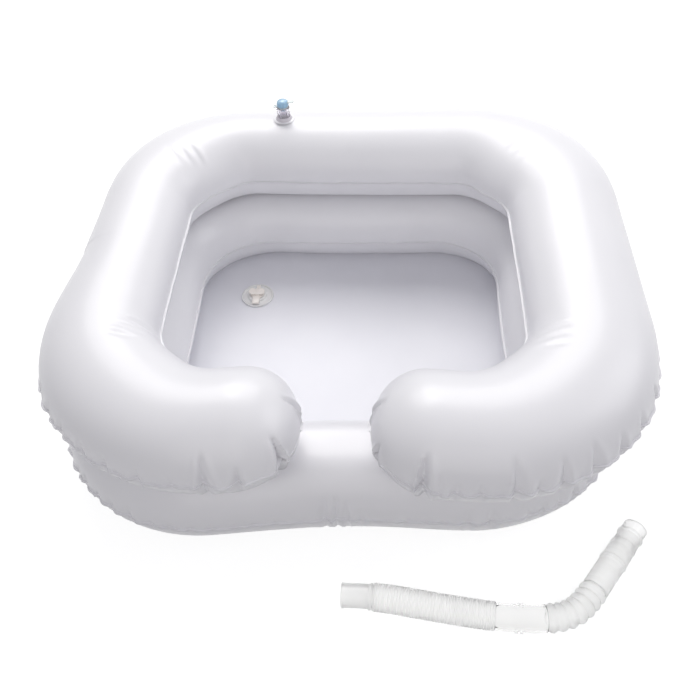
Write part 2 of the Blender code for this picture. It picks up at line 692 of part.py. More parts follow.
def valve_base(plan, sheet, x, step):
    """Return a matrix on the outside of a sheet at the rear: step picks a corner or a facet."""
    frame = plan.frame(x, plan.half_depth, (1.0, 0.0))
    columns = sheet.columns(1.0, 1.0, True)
    low = Vector(columns[int(math.floor(step))])
    high = Vector(columns[int(math.ceil(step))])
    if step == int(step):
        spot, slope = low, Vector((0.0, 1.0))
    else:
        spot = (low + high) / 2
        run = (high - low).normalized()
        slope = Vector((-run.y, run.x))
    outward = frame[1]
    point = place(frame, spot.x, spot.y)
    axis_z = Vector((outward.x * slope.x, outward.y * slope.x, slope.y)).normalized()
    axis_x = Vector((outward.y, -outward.x, 0.0))
    axis_y = axis_z.cross(axis_x)
    matrix = Matrix((axis_x, axis_y, axis_z)).transposed().to_4x4()
    matrix.translation = point
    return matrix


def build_basin():
    """Build every piece of the basin."""
    clear_scene()
    upper = Plan(UPPER_HALF_WIDTH, UPPER_HALF_DEPTH, UPPER_REAR_RADIUS, UPPER_FRONT_RADIUS,
                 UPPER_FRONT_WAIST, UPPER_SHIFT_Y, UPPER_CORNER_SWELL)
    lower = Plan(UPPER_HALF_WIDTH - LOWER_INSET_X, UPPER_HALF_DEPTH - LOWER_INSET_Y, LOWER_REAR_RADIUS,
                 LOWER_FRONT_RADIUS, LOWER_FRONT_WAIST, LOWER_SHIFT_Y)
    lower_half = UPPER_TUBE_HALF - LOWER_SLIMMER
    upper_top = Sheet(UPPER_TUBE_HALF, UPPER_SEAM_Z, UPPER_TOP_Z, 1, False)
    upper_bottom = Sheet(UPPER_TUBE_HALF, UPPER_SEAM_Z, CONTACT_Z + FIT_GAP / 2, -1, True)
    lower_top = Sheet(lower_half, LOWER_SEAM_Z, CONTACT_Z - FIT_GAP / 2, 1, True)
    lower_bottom = Sheet(lower_half, LOWER_SEAM_Z, 0.0, -1, True)

    top = arm_sheet("upper_chamber_top_sheet", upper, upper_top, WHITE_VINYL)
    arm_sheet("upper_chamber_bottom_sheet", upper, upper_bottom, WHITE_VINYL)
    side = ring_sheet("lower_chamber_top_sheet", lower, lower_top, WHITE_VINYL)
    ring_sheet("lower_chamber_bottom_sheet", lower, lower_bottom, WHITE_VINYL)
    floor, top_z = floor_sheet(lower, lower_bottom)
    floor_drain(floor, lower, lower_half, top_z)

    crest = 1 + ARC_STEPS / 2
    shoulder = 1 + ARC_STEPS - ARC_STEPS / 4 + 1 / 2
    upper_base = valve_base(upper, upper_top, UPPER_VALVE_X, crest)
    lower_base = valve_base(lower, lower_top, LOWER_VALVE_X, shoulder)
    hole_r = VALVE_STEM_R + 2 * VALVE_SLIDE_GAP
    boolean(top, hole_cutter("upper_valve_hole", hole_r, VALVE_STEM_DOWN, upper_base), "DIFFERENCE")
    boolean(side, hole_cutter("lower_valve_hole", hole_r, VALVE_STEM_DOWN, lower_base), "DIFFERENCE")
    air_valve("upper", upper_base)
    air_valve("lower", lower_base)
    drain_hose()
    bpy.context.view_layer.update()


build_basin()
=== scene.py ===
"""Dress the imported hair-washing basin.

The air chambers get full skins with puckered seams and tucked ends, and the floor, the valves,
the drain and the drain hose get finished pieces of their own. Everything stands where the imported
model has it, in metres, +Z up, with the neck notch at -Y.
"""
from __future__ import annotations

import logging
import math
from collections.abc import Callable
from dataclasses import dataclass
from enum import Enum

import bmesh
import bpy
import numpy as np
from mathutils import Matrix, Vector


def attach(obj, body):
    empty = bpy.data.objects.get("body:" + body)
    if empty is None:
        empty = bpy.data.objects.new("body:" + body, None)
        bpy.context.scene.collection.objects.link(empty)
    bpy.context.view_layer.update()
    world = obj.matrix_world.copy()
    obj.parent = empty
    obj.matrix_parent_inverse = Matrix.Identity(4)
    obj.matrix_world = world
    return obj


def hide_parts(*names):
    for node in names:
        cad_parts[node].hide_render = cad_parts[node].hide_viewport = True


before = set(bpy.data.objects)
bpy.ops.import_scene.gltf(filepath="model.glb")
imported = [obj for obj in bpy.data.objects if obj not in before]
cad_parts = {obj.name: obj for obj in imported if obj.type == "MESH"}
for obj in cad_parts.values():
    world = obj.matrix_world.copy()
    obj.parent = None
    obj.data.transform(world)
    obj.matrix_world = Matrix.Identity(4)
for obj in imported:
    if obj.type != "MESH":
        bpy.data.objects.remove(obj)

log = logging.getLogger("basin")

Array = np.ndarray
Triple = tuple[float, float, float]
Profile = list[tuple[float, float]]
Shape = tuple[Array, list[tuple[int, ...]]]
Socket = bpy.types.NodeSocket

ROOT_BODY = "basin"
PHOTO_PIXELS = 700
FIT_GAP = 0.0003
HALF_GAP = FIT_GAP / 2
MERGE_DISTANCE = 0.000001
SHORTEST, SAME_POINT, NO_WIDTH = 1e-12, 1e-7, 1e-6


# Nodes and finishes


def feed(tree: bpy.types.NodeTree, node: bpy.types.Node, inputs: dict[str | int, object]) -> None:
    """Fill the inputs of a node.

    Args:
        tree: tree that the node is in.
        node: the node.
        inputs: for each input a value, or the output that is linked to it.
    """
    for key, value in inputs.items():
        if isinstance(value, Socket):
            tree.links.new(value, node.inputs[key])
        else:
            node.inputs[key].default_value = value


def add_node(tree: bpy.types.NodeTree, kind: str, inputs: dict[str | int, object],
             **settings: str) -> bpy.types.Node:
    """Add a node to a tree.

    Args:
        tree: the tree.
        kind: type of the node.
        inputs: for each input a value, or the output that is linked to it.
        settings: its properties, such as its operation.

    Returns:
        The new node.
    """
    node = tree.nodes.new(kind)
    for name, value in settings.items():
        setattr(node, name, value)
    feed(tree, node, inputs)
    return node


class Surface(Enum):
    """What kind of plastic a finish is."""

    SHEET = "sheet"
    MOULDING = "moulding"
    HOSE = "hose"


@dataclass(frozen=True)
class Detail:
    """What the finishes of one kind of plastic share.

    Args:
        patch: size of the soft patches of colour.
        coat_roughness: roughness of the thin gloss layer.
        grain: size of the finest unevenness.
        grain_depth: depth of that unevenness.
    """

    patch: float
    coat_roughness: float
    grain: float
    grain_depth: float


DETAILS = {
    Surface.SHEET: Detail(0.06, 0.22, 0.0016, 0.00003),
    Surface.MOULDING: Detail(0.009, 0.16, 0.0008, 0.00001),
    Surface.HOSE: Detail(0.03, 0.2, 0.0009, 0.00001),
}
ROUGHNESS_PATCH = 0.02
ROUGHNESS_SPREAD = 0.05


@dataclass(frozen=True)
class Finish:
    """One plastic, with the detail that its surface shows.

    Args:
        name: name of the material.
        slot: material slot of the record that it belongs to; not used.
        kind: sheet, moulding or hose.
        light: its lighter colour.
        dark: its darker colour, in soft patches.
        roughness: mean roughness.
        gloss: weight of the thin gloss layer.
        clear: share of the light that goes through.
        ior: how strongly it bends light, low for a thin wall.
    """

    name: str
    slot: str
    kind: Surface
    light: Triple
    dark: Triple
    roughness: float
    gloss: float
    clear: float = 0.0
    ior: float = 1.5

    def material(self) -> bpy.types.Material:
        """Build the node material once and return it.

        Returns:
            The material, shared by all pieces of this finish.
        """
        known = bpy.data.materials.get(self.name)
        if known is not None:
            return known
        material = bpy.data.materials.new(self.name)
        material.use_nodes = True
        material.diffuse_color = (*self.light, 1.0)
        tree, detail = material.node_tree, DETAILS[self.kind]
        coords = tree.nodes.new("ShaderNodeTexCoord").outputs["Object"]
        patches, rough, grain = (
            add_node(tree, "ShaderNodeTexNoise",
                     {"Scale": 1.0 / size, "Detail": layers, "Vector": coords}).outputs["Fac"]
            for size, layers in ((detail.patch, 3.0), (ROUGHNESS_PATCH, 4.0), (detail.grain, 2.0)))
        colour = add_node(tree, "ShaderNodeMix",
                          {0: patches, 6: (*self.dark, 1.0), 7: (*self.light, 1.0)},
                          data_type="RGBA")
        spread = add_node(tree, "ShaderNodeMapRange",
                          {"Value": rough, "To Min": self.roughness - ROUGHNESS_SPREAD,
                           "To Max": self.roughness + ROUGHNESS_SPREAD})
        bump = add_node(tree, "ShaderNodeBump",
                        {"Strength": 1.0, "Distance": detail.grain_depth, "Height": grain})
        feed(tree, tree.nodes["Principled BSDF"], {
            "Base Color": colour.outputs[2], "Roughness": spread.outputs["Result"],
            "Normal": bump.outputs["Normal"], "Coat Weight": self.gloss,
            "Coat Roughness": detail.coat_roughness, "IOR": self.ior,
            "Transmission Weight": self.clear})
        return material


WHITE_SHEET = Finish("white_pvc_sheet", "white_vinyl", Surface.SHEET,
                     (0.86, 0.856, 0.878), (0.83, 0.826, 0.852), 0.36, 0.25)
FLOOR_SHEET = Finish("floor_pvc_sheet", "floor_vinyl", Surface.SHEET,
                     (0.83, 0.83, 0.87), (0.79, 0.79, 0.84), 0.42, 0.15)
BOSS_PVC = Finish("clouded_soft_pvc", "clear_vinyl", Surface.MOULDING,
                  (0.94, 0.90, 0.95), (0.89, 0.85, 0.91), 0.20, 0.4, 0.30, 1.3)
CLEAR_PVC = Finish("clear_soft_pvc", "clear_vinyl", Surface.MOULDING,
                   (0.98, 0.96, 1.0), (0.95, 0.93, 0.99), 0.12, 0.4, 0.82, 1.22)
BLUE_PVC = Finish("blue_soft_pvc", "blue_vinyl", Surface.MOULDING,
                  (0.52, 0.76, 0.93), (0.36, 0.62, 0.86), 0.24, 0.4, 0.25)
CREAM_PVC = Finish("cream_soft_pvc", "cream_vinyl", Surface.MOULDING,
                   (0.93, 0.88, 0.83), (0.87, 0.81, 0.75), 0.34, 0.3)
STRAP_PVC = Finish("strap_soft_pvc", "clear_vinyl", Surface.MOULDING,
                   (0.84, 0.89, 0.88), (0.74, 0.81, 0.80), 0.2, 0.4, 0.35, 1.35)
FLANGE_PVC = Finish("drain_disc_pvc", "cream_vinyl", Surface.MOULDING,
                    (0.94, 0.94, 0.95), (0.89, 0.88, 0.85), 0.18, 0.6, 0.06, 1.4)
MILKY_PLASTIC = Finish("milky_hose_plastic", "hose_plastic", Surface.HOSE,
                       (0.985, 0.985, 0.98), (0.97, 0.97, 0.97), 0.42, 0.15, 0.94, 1.25)
CLEAR_HOSE = Finish("clear_hose_plastic", "hose_plastic", Surface.HOSE,
                    (1.0, 1.0, 1.0), (0.995, 0.995, 0.99), 0.06, 0.3, 0.99, 1.12)
CLEAR_SLEEVE = Finish("clear_inner_sleeve", "hose_plastic", Surface.HOSE,
                      (1.0, 1.0, 1.0), (0.998, 0.998, 0.998), 0.06, 0.0, 1.0, 1.03)


# Points and meshes


def smoothstep(low: float, high: float, value: Array | float) -> Array:
    """Return 0 below low, 1 above high and a smooth ramp between."""
    share = np.clip((value - low) / (high - low), 0.0, 1.0)
    return share * share * (3.0 - 2.0 * share)


def soft_min(value: Array | float, limit: Array, blend: float) -> Array:
    """Return value held under limit, with a rounding that starts blend away from it."""
    return limit - blend * np.logaddexp(0.0, (limit - value) / blend)


def unit(vectors: Array) -> Array:
    """Return the vectors at a length of 1."""
    return vectors / np.maximum(np.linalg.norm(vectors, axis=-1, keepdims=True), SHORTEST)


def to_left(vectors: Array) -> Array:
    """Return vectors seen from above, each turned a quarter to the left."""
    return np.stack([-vectors[..., 1], vectors[..., 0]], axis=-1)


def lifted(plan: Array, height: Array | float) -> Array:
    """Return points seen from above with a height given to each."""
    return np.concatenate([plan, np.broadcast_to(height, plan.shape[:-1])[..., None]], axis=-1)


def gaps(line: Array) -> Array:
    """Return the distances between neighbouring points of a line seen from above."""
    return np.hypot(*np.diff(line, axis=0).T)


def in_scene(name: str, data: bpy.types.ID) -> bpy.types.Object:
    """Make an object and put it in the scene.

    Args:
        name: its name.
        data: its mesh, curve, lamp or camera.

    Returns:
        The new object.
    """
    obj = bpy.data.objects.new(name, data)
    bpy.context.scene.collection.objects.link(obj)
    return obj


def mesh_object(name: str, points: Array, faces: list[tuple[int, ...]] | Array, finish: Finish,
                sharp: float) -> bpy.types.Object:
    """Make an object from points and faces, shade it smooth and turn its faces outward.

    Args:
        name: name of the piece.
        points: its points, one row each.
        faces: its faces, as point numbers.
        finish: what it is made of.
        sharp: edges that turn more than this many degrees stay sharp.

    Returns:
        The new object, at the origin.
    """
    mesh = bpy.data.meshes.new(name)
    mesh.from_pydata([tuple(point) for point in points], [], [tuple(face) for face in faces])
    mesh.validate()
    mesh.shade_smooth()
    mesh.set_sharp_from_angle(angle=math.radians(sharp))
    mesh.materials.append(finish.material())
    return face_out(in_scene(name, mesh))


def face_out(obj: bpy.types.Object) -> bpy.types.Object:
    """Merge doubled points and turn every face outward.

    Args:
        obj: object with a mesh.

    Returns:
        The same object.
    """
    bm = bmesh.new()
    bm.from_mesh(obj.data)
    bmesh.ops.remove_doubles(bm, verts=bm.verts, dist=MERGE_DISTANCE)
    bmesh.ops.recalc_face_normals(bm, faces=bm.faces)
    bm.to_mesh(obj.data)
    bm.free()
    return obj


def dressed(obj: bpy.types.Object, finish: Finish, body: str, *nodes: str) -> bpy.types.Object:
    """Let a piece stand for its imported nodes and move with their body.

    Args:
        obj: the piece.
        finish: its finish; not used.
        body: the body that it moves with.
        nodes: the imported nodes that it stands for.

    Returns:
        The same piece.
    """
    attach(obj, body)
    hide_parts(*nodes)
    log.info("%s: %d faces, on %s, for %s", obj.name, len(obj.data.polygons), body,
             ", ".join(nodes))
    return obj


def paint_where(obj: bpy.types.Object, finish: Finish, there: Callable[[Vector], bool]) -> None:
    """Give the faces in one region of a piece another finish.

    Args:
        obj: the piece.
        finish: the finish of that region.
        there: says of the middle of a face whether it lies in the region.
    """
    obj.data.materials.append(finish.material())
    for face in obj.data.polygons:
        if there(face.center):
            face.material_index = len(obj.data.materials) - 1


def applied(obj: bpy.types.Object) -> bpy.types.Object:
    """Turn an object's modifiers into a plain mesh.

    Args:
        obj: object with live modifiers.

    Returns:
        The same object, or for a curve a new one of the same name, as a plain mesh.
    """
    bpy.context.view_layer.update()
    graph = bpy.context.evaluated_depsgraph_get()
    mesh = bpy.data.meshes.new_from_object(obj.evaluated_get(graph))
    obj.modifiers.clear()
    if obj.type == "MESH":
        obj.data = mesh
        return obj
    name = obj.name
    bpy.data.objects.remove(obj)
    return in_scene(name, mesh)


def cut_round_hole(obj: bpy.types.Object, radius: float, depth: float, place: Matrix) -> None:
    """Cut a round hole through a piece.

    Args:
        obj: the piece.
        radius: radius of the hole.
        depth: half the length of the cut.
        place: where the hole is, with Z along it.
    """
    bm = bmesh.new()
    bmesh.ops.create_cone(bm, cap_ends=True, segments=48, radius1=radius, radius2=radius,
                          depth=2 * depth, matrix=place)
    mesh = bpy.data.meshes.new("hole")
    bm.to_mesh(mesh)
    bm.free()
    cutter = in_scene("hole", mesh)
    modifier = obj.modifiers.new("hole", "BOOLEAN")
    modifier.operation, modifier.solver, modifier.object = "DIFFERENCE", "EXACT", cutter
    materials = [slot.material for slot in obj.material_slots]
    applied(obj)
    for index, material in enumerate(materials):
        obj.data.materials[index] = material
    bpy.data.objects.remove(cutter)


def place_of(origin: Triple, axis_x: Triple, axis_y: Triple, axis_z: Triple) -> Matrix:
    """Make a placing matrix.

    Args:
        origin: place of its origin.
        axis_x: its X in the scene.
        axis_y: its Y.
        axis_z: its Z.

    Returns:
        The matrix.
    """
    matrix = Matrix((axis_x, axis_y, axis_z)).transposed().to_4x4()
    matrix.translation = Vector(origin)
    return matrix


UPPER_VALVE_PLACE = place_of((-0.085, 0.21709, 0.1805), (0.99973, -0.02302, 0.0),
                             (0.02302, 0.99973, 0.0), (0.0, 0.0, 1.0))
LOWER_VALVE_PLACE = place_of((-0.08393, 0.24919, 0.07175), (0.9997, -0.02438, 0.0),
                             (0.01496, 0.6134, -0.78963), (0.01925, 0.7894, 0.61358))
DRAIN_PLACE = Matrix.Translation((-0.122, 0.084, 0.0102))


# Lines of the air chambers


MIRROR = np.array([-1.0, 1.0])
RUN_STEPS = 60
TURN_STEPS = 90
FRONT_TILL_Y, REAR_FROM_Y = -0.08, 0.02
TIP_TURNS = 44
TIPS = ((0, -1.0), (-1, 1.0))


def both_sides(right: Array, flip: Array | float = 1.0) -> Array:
    """Return values of the right half of a C with the left half's before them.

    Args:
        right: values from the middle of the rear forward.
        flip: what the left half's values are multiplied by.

    Returns:
        The values from the left end round the rear to the right end.
    """
    return np.concatenate([right[:0:-1] * flip, right])


@dataclass(frozen=True)
class PlanLine:
    """Middle line of one chamber's tube, seen from above.

    Args:
        half_width: half the width of the line.
        half_depth: half the depth of the line.
        rear_radius: radius of the two rear corners.
        front_radius: radius of the two front corners.
        front_waist: how far the middle of the front is drawn in.
        shift_y: how far the line lies towards the rear.
        swell: share by which the tube is wider in the middle of a corner's turn.
        side_waist: how far the middle of a side is drawn in.
        rear_waist: how far the middle of the rear is drawn in.
    """

    half_width: float
    half_depth: float
    rear_radius: float
    front_radius: float
    front_waist: float
    shift_y: float
    swell: float = 0.0
    side_waist: float = 0.003
    rear_waist: float = 0.004

    def drawn_in(self, points: Array) -> Array:
        """Move points of the plain outline by the waists of its sides.

        Args:
            points: points of the plain rounded outline, two columns.

        Returns:
            The moved points.
        """
        across, along = points[:, 0] / self.half_width, points[:, 1] / self.half_depth
        waist = np.where(points[:, 1] > 0, self.rear_waist, self.front_waist)
        moved_x = points[:, 0] - self.side_waist * self._bell(along) * across * np.abs(across)
        moved_y = points[:, 1] - waist * self._bell(across) * along * np.abs(along) + self.shift_y
        return np.stack([moved_x, moved_y], axis=1)

    @staticmethod
    def _bell(value: Array) -> Array:
        """Return 1 in the middle of a side and 0 at its ends."""
        return np.cos(np.pi / 2 * np.clip(value, -1.0, 1.0)) ** 2

    def right_half(self, end_x: float, spacing: tuple[float, float]) -> tuple[Array, Array]:
        """Return points from the middle of the rear to a place on the front run.

        Args:
            end_x: where on the front run the line ends.
            spacing: distance between the points at the front and at the rear.

        Returns:
            The points, two columns, and the share of the tube's width at each.
        """
        wide, deep = self.half_width, self.half_depth
        rear_x, rear_y = wide - self.rear_radius, deep - self.rear_radius
        front_x, front_y = wide - self.front_radius, deep - self.front_radius
        quarter = np.linspace(0.0, np.pi / 2, TURN_STEPS)
        sine, cosine = np.sin(quarter), np.cos(quarter)
        line = self.drawn_in(np.concatenate([
            (np.linspace(0.0, rear_x, RUN_STEPS), np.full(RUN_STEPS, deep)),
            (rear_x + self.rear_radius * sine, rear_y + self.rear_radius * cosine),
            (np.full(RUN_STEPS, wide), np.linspace(rear_y, -front_y, RUN_STEPS)),
            (front_x + self.front_radius * cosine, -front_y - self.front_radius * sine),
            (np.linspace(front_x, end_x, RUN_STEPS), np.full(RUN_STEPS, -deep))], axis=1).T)
        straight, bend = np.zeros(RUN_STEPS), self.swell * np.sin(2 * quarter) ** 2
        share = 1.0 + np.concatenate([straight, bend, straight, bend, straight])
        fresh = np.concatenate([[True], gaps(line) > SAME_POINT])
        line, share = line[fresh], share[fresh]
        front, rear = spacing
        step = front + (rear - front) * smoothstep(FRONT_TILL_Y, REAR_FROM_Y, line[:, 1])
        along = np.concatenate([[0.0], np.cumsum(gaps(line) / ((step[1:] + step[:-1]) / 2))])
        even = np.linspace(0.0, along[-1], int(round(along[-1])) + 1)
        points = np.stack([np.interp(even, along, line[:, k]) for k in (0, 1)], axis=1)
        return points, np.interp(even, along, share)

    def ring(self, spacing: tuple[float, float]) -> tuple[Array, Array]:
        """Follow the whole line, clockwise.

        Args:
            spacing: distance between the points at the front and at the rear.

        Returns:
            The points, two columns, and the share of the tube's width at each.
        """
        right, share = self.right_half(0.0, spacing)
        return (np.concatenate([right, right[-2:0:-1] * MIRROR]),
                np.concatenate([share, share[-2:0:-1]]))

    def front_points(self, xs: Array) -> Array:
        """Return points of the front run at the given places."""
        return self.drawn_in(np.stack([xs, np.full(len(xs), -self.half_depth)], axis=1))


@dataclass(frozen=True)
class Lie:
    """How a soft chamber really lies, as slow waves of its two sides round the basin.

    Args:
        inner: mean, then cosine and sine of one to four waves, for how far the inner side stands
            outward.
        outer: the same for the outer side.
        pulls: places where the outer side stands further out or in: the turn in degrees, how far,
            and its spread in degrees.
        middle_y: place on the middle line of the basin that the waves are counted round.
    """

    inner: tuple[float, ...]
    outer: tuple[float, ...]
    pulls: tuple[Triple, ...]
    middle_y: float = 0.006

    def at(self, points: Array) -> tuple[Array, Array]:
        """Say how the chamber lies at some places.

        Args:
            points: the places, seen from above.

        Returns:
            How far the inner and how far the outer side stands outward at each.
        """
        turn = np.arctan2(points[:, 1] - self.middle_y, points[:, 0])
        waves = [np.ones(len(turn))]
        for count in range(1, 5):
            waves += [np.cos(count * turn), np.sin(count * turn)]
        table = np.stack(waves, axis=1)
        outer = table @ np.array(self.outer)
        for place, amount, spread in self.pulls:
            outer += amount * np.exp(-((np.degrees(turn) - place) / spread) ** 2)
        return table @ np.array(self.inner), outer


@dataclass
class Stations:
    """Where the sections of a tube stand, and how wide and high each is.

    Args:
        middle: points of the middle line.
        outward: unit vectors that point away from the bowl.
        half: half the width of each section.
        rise: share of the full rise.
        closed: True for a ring.
    """

    middle: Array
    outward: Array
    half: Array
    rise: Array
    closed: bool

    @classmethod
    def along(cls, line: Array, half: Array, rise: Array, closed: bool, lie: Lie,
              aside: Array | float = 0.0) -> Stations:
        """Set stations on a line that runs clockwise.

        Args:
            line: points of the plain middle line.
            half: half the width of the plain tube at each.
            rise: share of the full rise at each.
            closed: True for a ring.
            lie: how the chamber really lies.
            aside: how far each section's middle stands outward of the line.

        Returns:
            The stations as the chamber lies, with their outward directions.
        """
        if closed:
            ahead, behind = np.roll(line, -1, axis=0), np.roll(line, 1, axis=0)
        else:
            ends = np.concatenate([[2 * line[0] - line[1]], line, [2 * line[-1] - line[-2]]])
            ahead, behind = ends[2:], ends[:-2]
        outward = to_left(unit(ahead - behind))
        inner, outer = lie.at(line)
        middle = line + outward * ((inner + outer) / 2 + aside)[:, None]
        wider = (outer - inner) / 2 * np.minimum(half / half.mean(), 1.0)
        return cls(middle, outward, half + wider, rise, closed)

    def seam(self) -> Array:
        """Return points round the outer seam."""
        return self.middle + self.outward * self.half[:, None]


# Folds of the air chambers


FOLD_SIGHT = 10.0
FOLD_INSIDE = (-0.02, 0.06)
FOLD_SPREAD = 1.3
FOLD_CLOSED, FOLD_OPENS = 0.35, 0.65
FOLD_LEAN = 0.65
VALLEY_POWER = 1.5
SHOULDER_HEIGHT, SHOULDER_PLACE = 0.34, 2.1
FADE_POWER, FADE_SHARE = 0.8, 0.25
FADE_INSIDE = (0.035, 0.055)

LINE_SLIDE = 0.35
LINE_VALLEY = 0.28
LINE_RIDGE, RIDGE_PLACE, RIDGE_HEIGHT = 0.26, 0.48, 0.8

SWELL_WAVES = 7
SWELL_LENGTH = (0.07, 0.19)
SWELL_DEPTH = 0.0005
SWELL_LEVEL = 0.03
SEAM_COUNTS = (5, 9, 14, 23, 31)
SEAM_SHARE, SEAM_DIVISOR = (0.4, 1.0), 3
SEAM_LEVEL = 0.02


@dataclass(frozen=True)
class Crease:
    """One fold that starts at a seam and dies out up and down the tube.

    Args:
        x: place of the fold on the seam.
        y: place of the fold on the seam.
        depth: how deep it is at the seam.
        width: half its width at the seam.
        length: how far it runs from the seam before it closes.
        lean: which of its sides is the steeper, from -1 to 1.
    """

    x: float
    y: float
    depth: float
    width: float
    length: float
    lean: float

    def depth_at(self, inside: Array, beside: Array, level: Array) -> Array:
        """Work out the fold at some points near it.

        Args:
            inside: distance of each point from the seam, into the sheet.
            beside: distance of each point from the middle of the fold.
            level: distance of each point from the plane of the seam.

        Returns:
            How far each point is drawn in.
        """
        open_share = np.clip(1.0 - level / self.length, 0.0, 1.0)
        spread = FOLD_SPREAD * self.width * (FOLD_CLOSED + FOLD_OPENS * open_share)
        lean = FOLD_LEAN * self.lean
        across = np.abs(beside / (spread * np.where(beside > 0, 1.0 + lean, 1.0 - lean)))
        valley = np.exp(-across ** VALLEY_POWER)
        shoulder = SHOULDER_HEIGHT * np.exp(-(across - SHOULDER_PLACE) ** 2)
        fade = open_share ** FADE_POWER * smoothstep(0.0, FADE_SHARE, open_share)
        fade = fade * (1.0 - smoothstep(*FADE_INSIDE, inside))
        return self.depth * (valley - shoulder) * fade


@dataclass(frozen=True)
class Wrinkle:
    """A short group of wrinkles on the inner side of a bend.

    Args:
        x: middle of the group.
        y: middle of the group.
        angle: direction of its lines, in degrees from +X.
        pitch: distance between its lines.
        depth: depth of a line.
        length: half the length of a line.
        count: how many lines it has.
    """

    x: float
    y: float
    angle: float
    pitch: float
    depth: float
    length: float
    count: int = 3

    def depth_at(self, points: Array) -> Array:
        """Work out the wrinkles.

        Args:
            points: points of the top sheet.

        Returns:
            How far each point is drawn in.
        """
        turn = math.radians(self.angle)
        cosine, sine = math.cos(turn), math.sin(turn)
        along = (points[:, 0] - self.x) * cosine + (points[:, 1] - self.y) * sine
        across = (points[:, 1] - self.y) * cosine - (points[:, 0] - self.x) * sine
        total = np.zeros(len(points))
        for step in range(self.count):
            place = (step - (self.count - 1) / 2) * self.pitch
            valley = np.exp(-((across - place) / (LINE_VALLEY * self.pitch)) ** 2)
            ridge = np.exp(-((across - place - RIDGE_PLACE * self.pitch)
                             / (LINE_RIDGE * self.pitch)) ** 2)
            fade = np.exp(-((along - place * LINE_SLIDE) / self.length) ** 4)
            total += self.depth * (valley - RIDGE_HEIGHT * ridge) * fade
        return total


@dataclass(frozen=True)
class FoldRule:
    """How creases are spread along a seam at uneven distances.

    Args:
        seed: start of the random numbers.
        spacing: least and greatest distance between two creases.
        depth: least and greatest depth.
        length: least and greatest run.
        width: least and greatest width.
    """

    seed: int
    spacing: tuple[float, float]
    depth: tuple[float, float]
    length: tuple[float, float]
    width: tuple[float, float] = (0.0022, 0.0042)

    def creases(self, outline: Array, strength_at: Callable[[float, float], float]) -> list[Crease]:
        """Spread the creases.

        Args:
            outline: points of the seam, in order.
            strength_at: says how strong a crease is at a place, 0 for none.

        Returns:
            The creases.
        """
        rng = np.random.default_rng(self.seed)
        along = np.concatenate([[0.0], np.cumsum(gaps(outline))])
        creases = []
        place = rng.uniform(*self.spacing)
        while place < along[-1]:
            x, y = (float(np.interp(place, along, outline[:, k])) for k in (0, 1))
            strength = strength_at(x, y)
            if strength > 0:
                creases.append(Crease(x, y, rng.uniform(*self.depth) * strength,
                                      rng.uniform(*self.width),
                                      rng.uniform(*self.length) * strength,
                                      rng.uniform(-1.0, 1.0)))
            place += rng.uniform(*self.spacing)
        return creases


@dataclass
class Puckers:
    """Everything that disturbs the plain tube of one chamber.

    Args:
        creases: folds that start at a seam.
        wrinkles: groups of wrinkles on the top sheet.
        seed: start of the random numbers.
        wave: height of the slow wave of the seam.
    """

    creases: list[Crease]
    wrinkles: tuple[Wrinkle, ...]
    seed: int
    wave: float

    def depth_at(self, points: Array, level: Array, outline: Array, inward: Array) -> Array:
        """Work out the creases on a skin.

        Args:
            points: the points of the plain skin.
            level: distance of each point from the plane of the seam.
            outline: points of the seam, seen from above.
            inward: unit vectors into the sheet at those points.

        Returns:
            How far each point is drawn in, along its own normal.
        """
        total = np.zeros(len(points))
        least, most = FOLD_INSIDE
        for crease in self.creases:
            nearest = np.argmin(np.hypot(outline[:, 0] - crease.x, outline[:, 1] - crease.y))
            offset = points[:, :2] - outline[nearest]
            inside, beside = offset @ inward[nearest], offset @ to_left(inward[nearest])
            near = np.abs(beside) < FOLD_SIGHT * crease.width
            near &= (inside > least) & (inside < most)
            if near.any():
                total[near] += crease.depth_at(inside[near], beside[near], level[near])
        return total

    def unevenness(self, points: Array) -> Array:
        """Work out the slow swell of a filled chamber, a sum of a few smooth waves.

        Args:
            points: the points of the plain skin.

        Returns:
            The swell at each point, from -1 to 1.
        """
        rng = np.random.default_rng(self.seed)
        total = np.zeros(len(points))
        for _ in range(SWELL_WAVES):
            direction = rng.normal(size=3)
            direction /= np.linalg.norm(direction)
            length = rng.uniform(*SWELL_LENGTH)
            total += np.sin(points @ direction * 2 * np.pi / length + rng.uniform(0, 2 * np.pi))
        return total / SWELL_WAVES

    def seam_wave(self, points: Array) -> Array:
        """Work out the slow wave of the seam.

        Args:
            points: points of a skin.

        Returns:
            How far the seam stands above or below its plane at each point's turn.
        """
        rng = np.random.default_rng(self.seed + 1)
        turn = np.arctan2(points[:, 1], points[:, 0])
        total = np.zeros(len(points))
        for count in SEAM_COUNTS:
            total += rng.uniform(*SEAM_SHARE) * np.sin(count * turn + rng.uniform(0, 2 * np.pi))
        return self.wave * total / SEAM_DIVISOR


# Sheets of the air chambers


SECTION_EASE = 0.045
PRESS_BLEND = 0.0015
FREE_RISE = 0.001
FREE_FROM = 0.55
UNLIMITED = 1.0
SHEET_SHARP = 55.0


@dataclass
class SheetForm:
    """One welded sheet of a chamber.

    Args:
        node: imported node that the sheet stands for.
        seam_z: height of the weld.
        limit_z: height of the crown, or of the plane that presses the sheet flat.
        side: 1 for a top sheet, -1 for a bottom sheet.
        pressed: how hard the crown is pressed flat, 1 for not at all.
        free_x: half width of a stretch at the front where nothing presses on it.
    """

    node: str
    seam_z: float
    limit_z: float
    side: int
    pressed: float = 1.0
    free_x: float = 0.0

    @property
    def face_z(self) -> float:
        """Height of the sheet's own face of the weld."""
        return self.seam_z + self.side * HALF_GAP


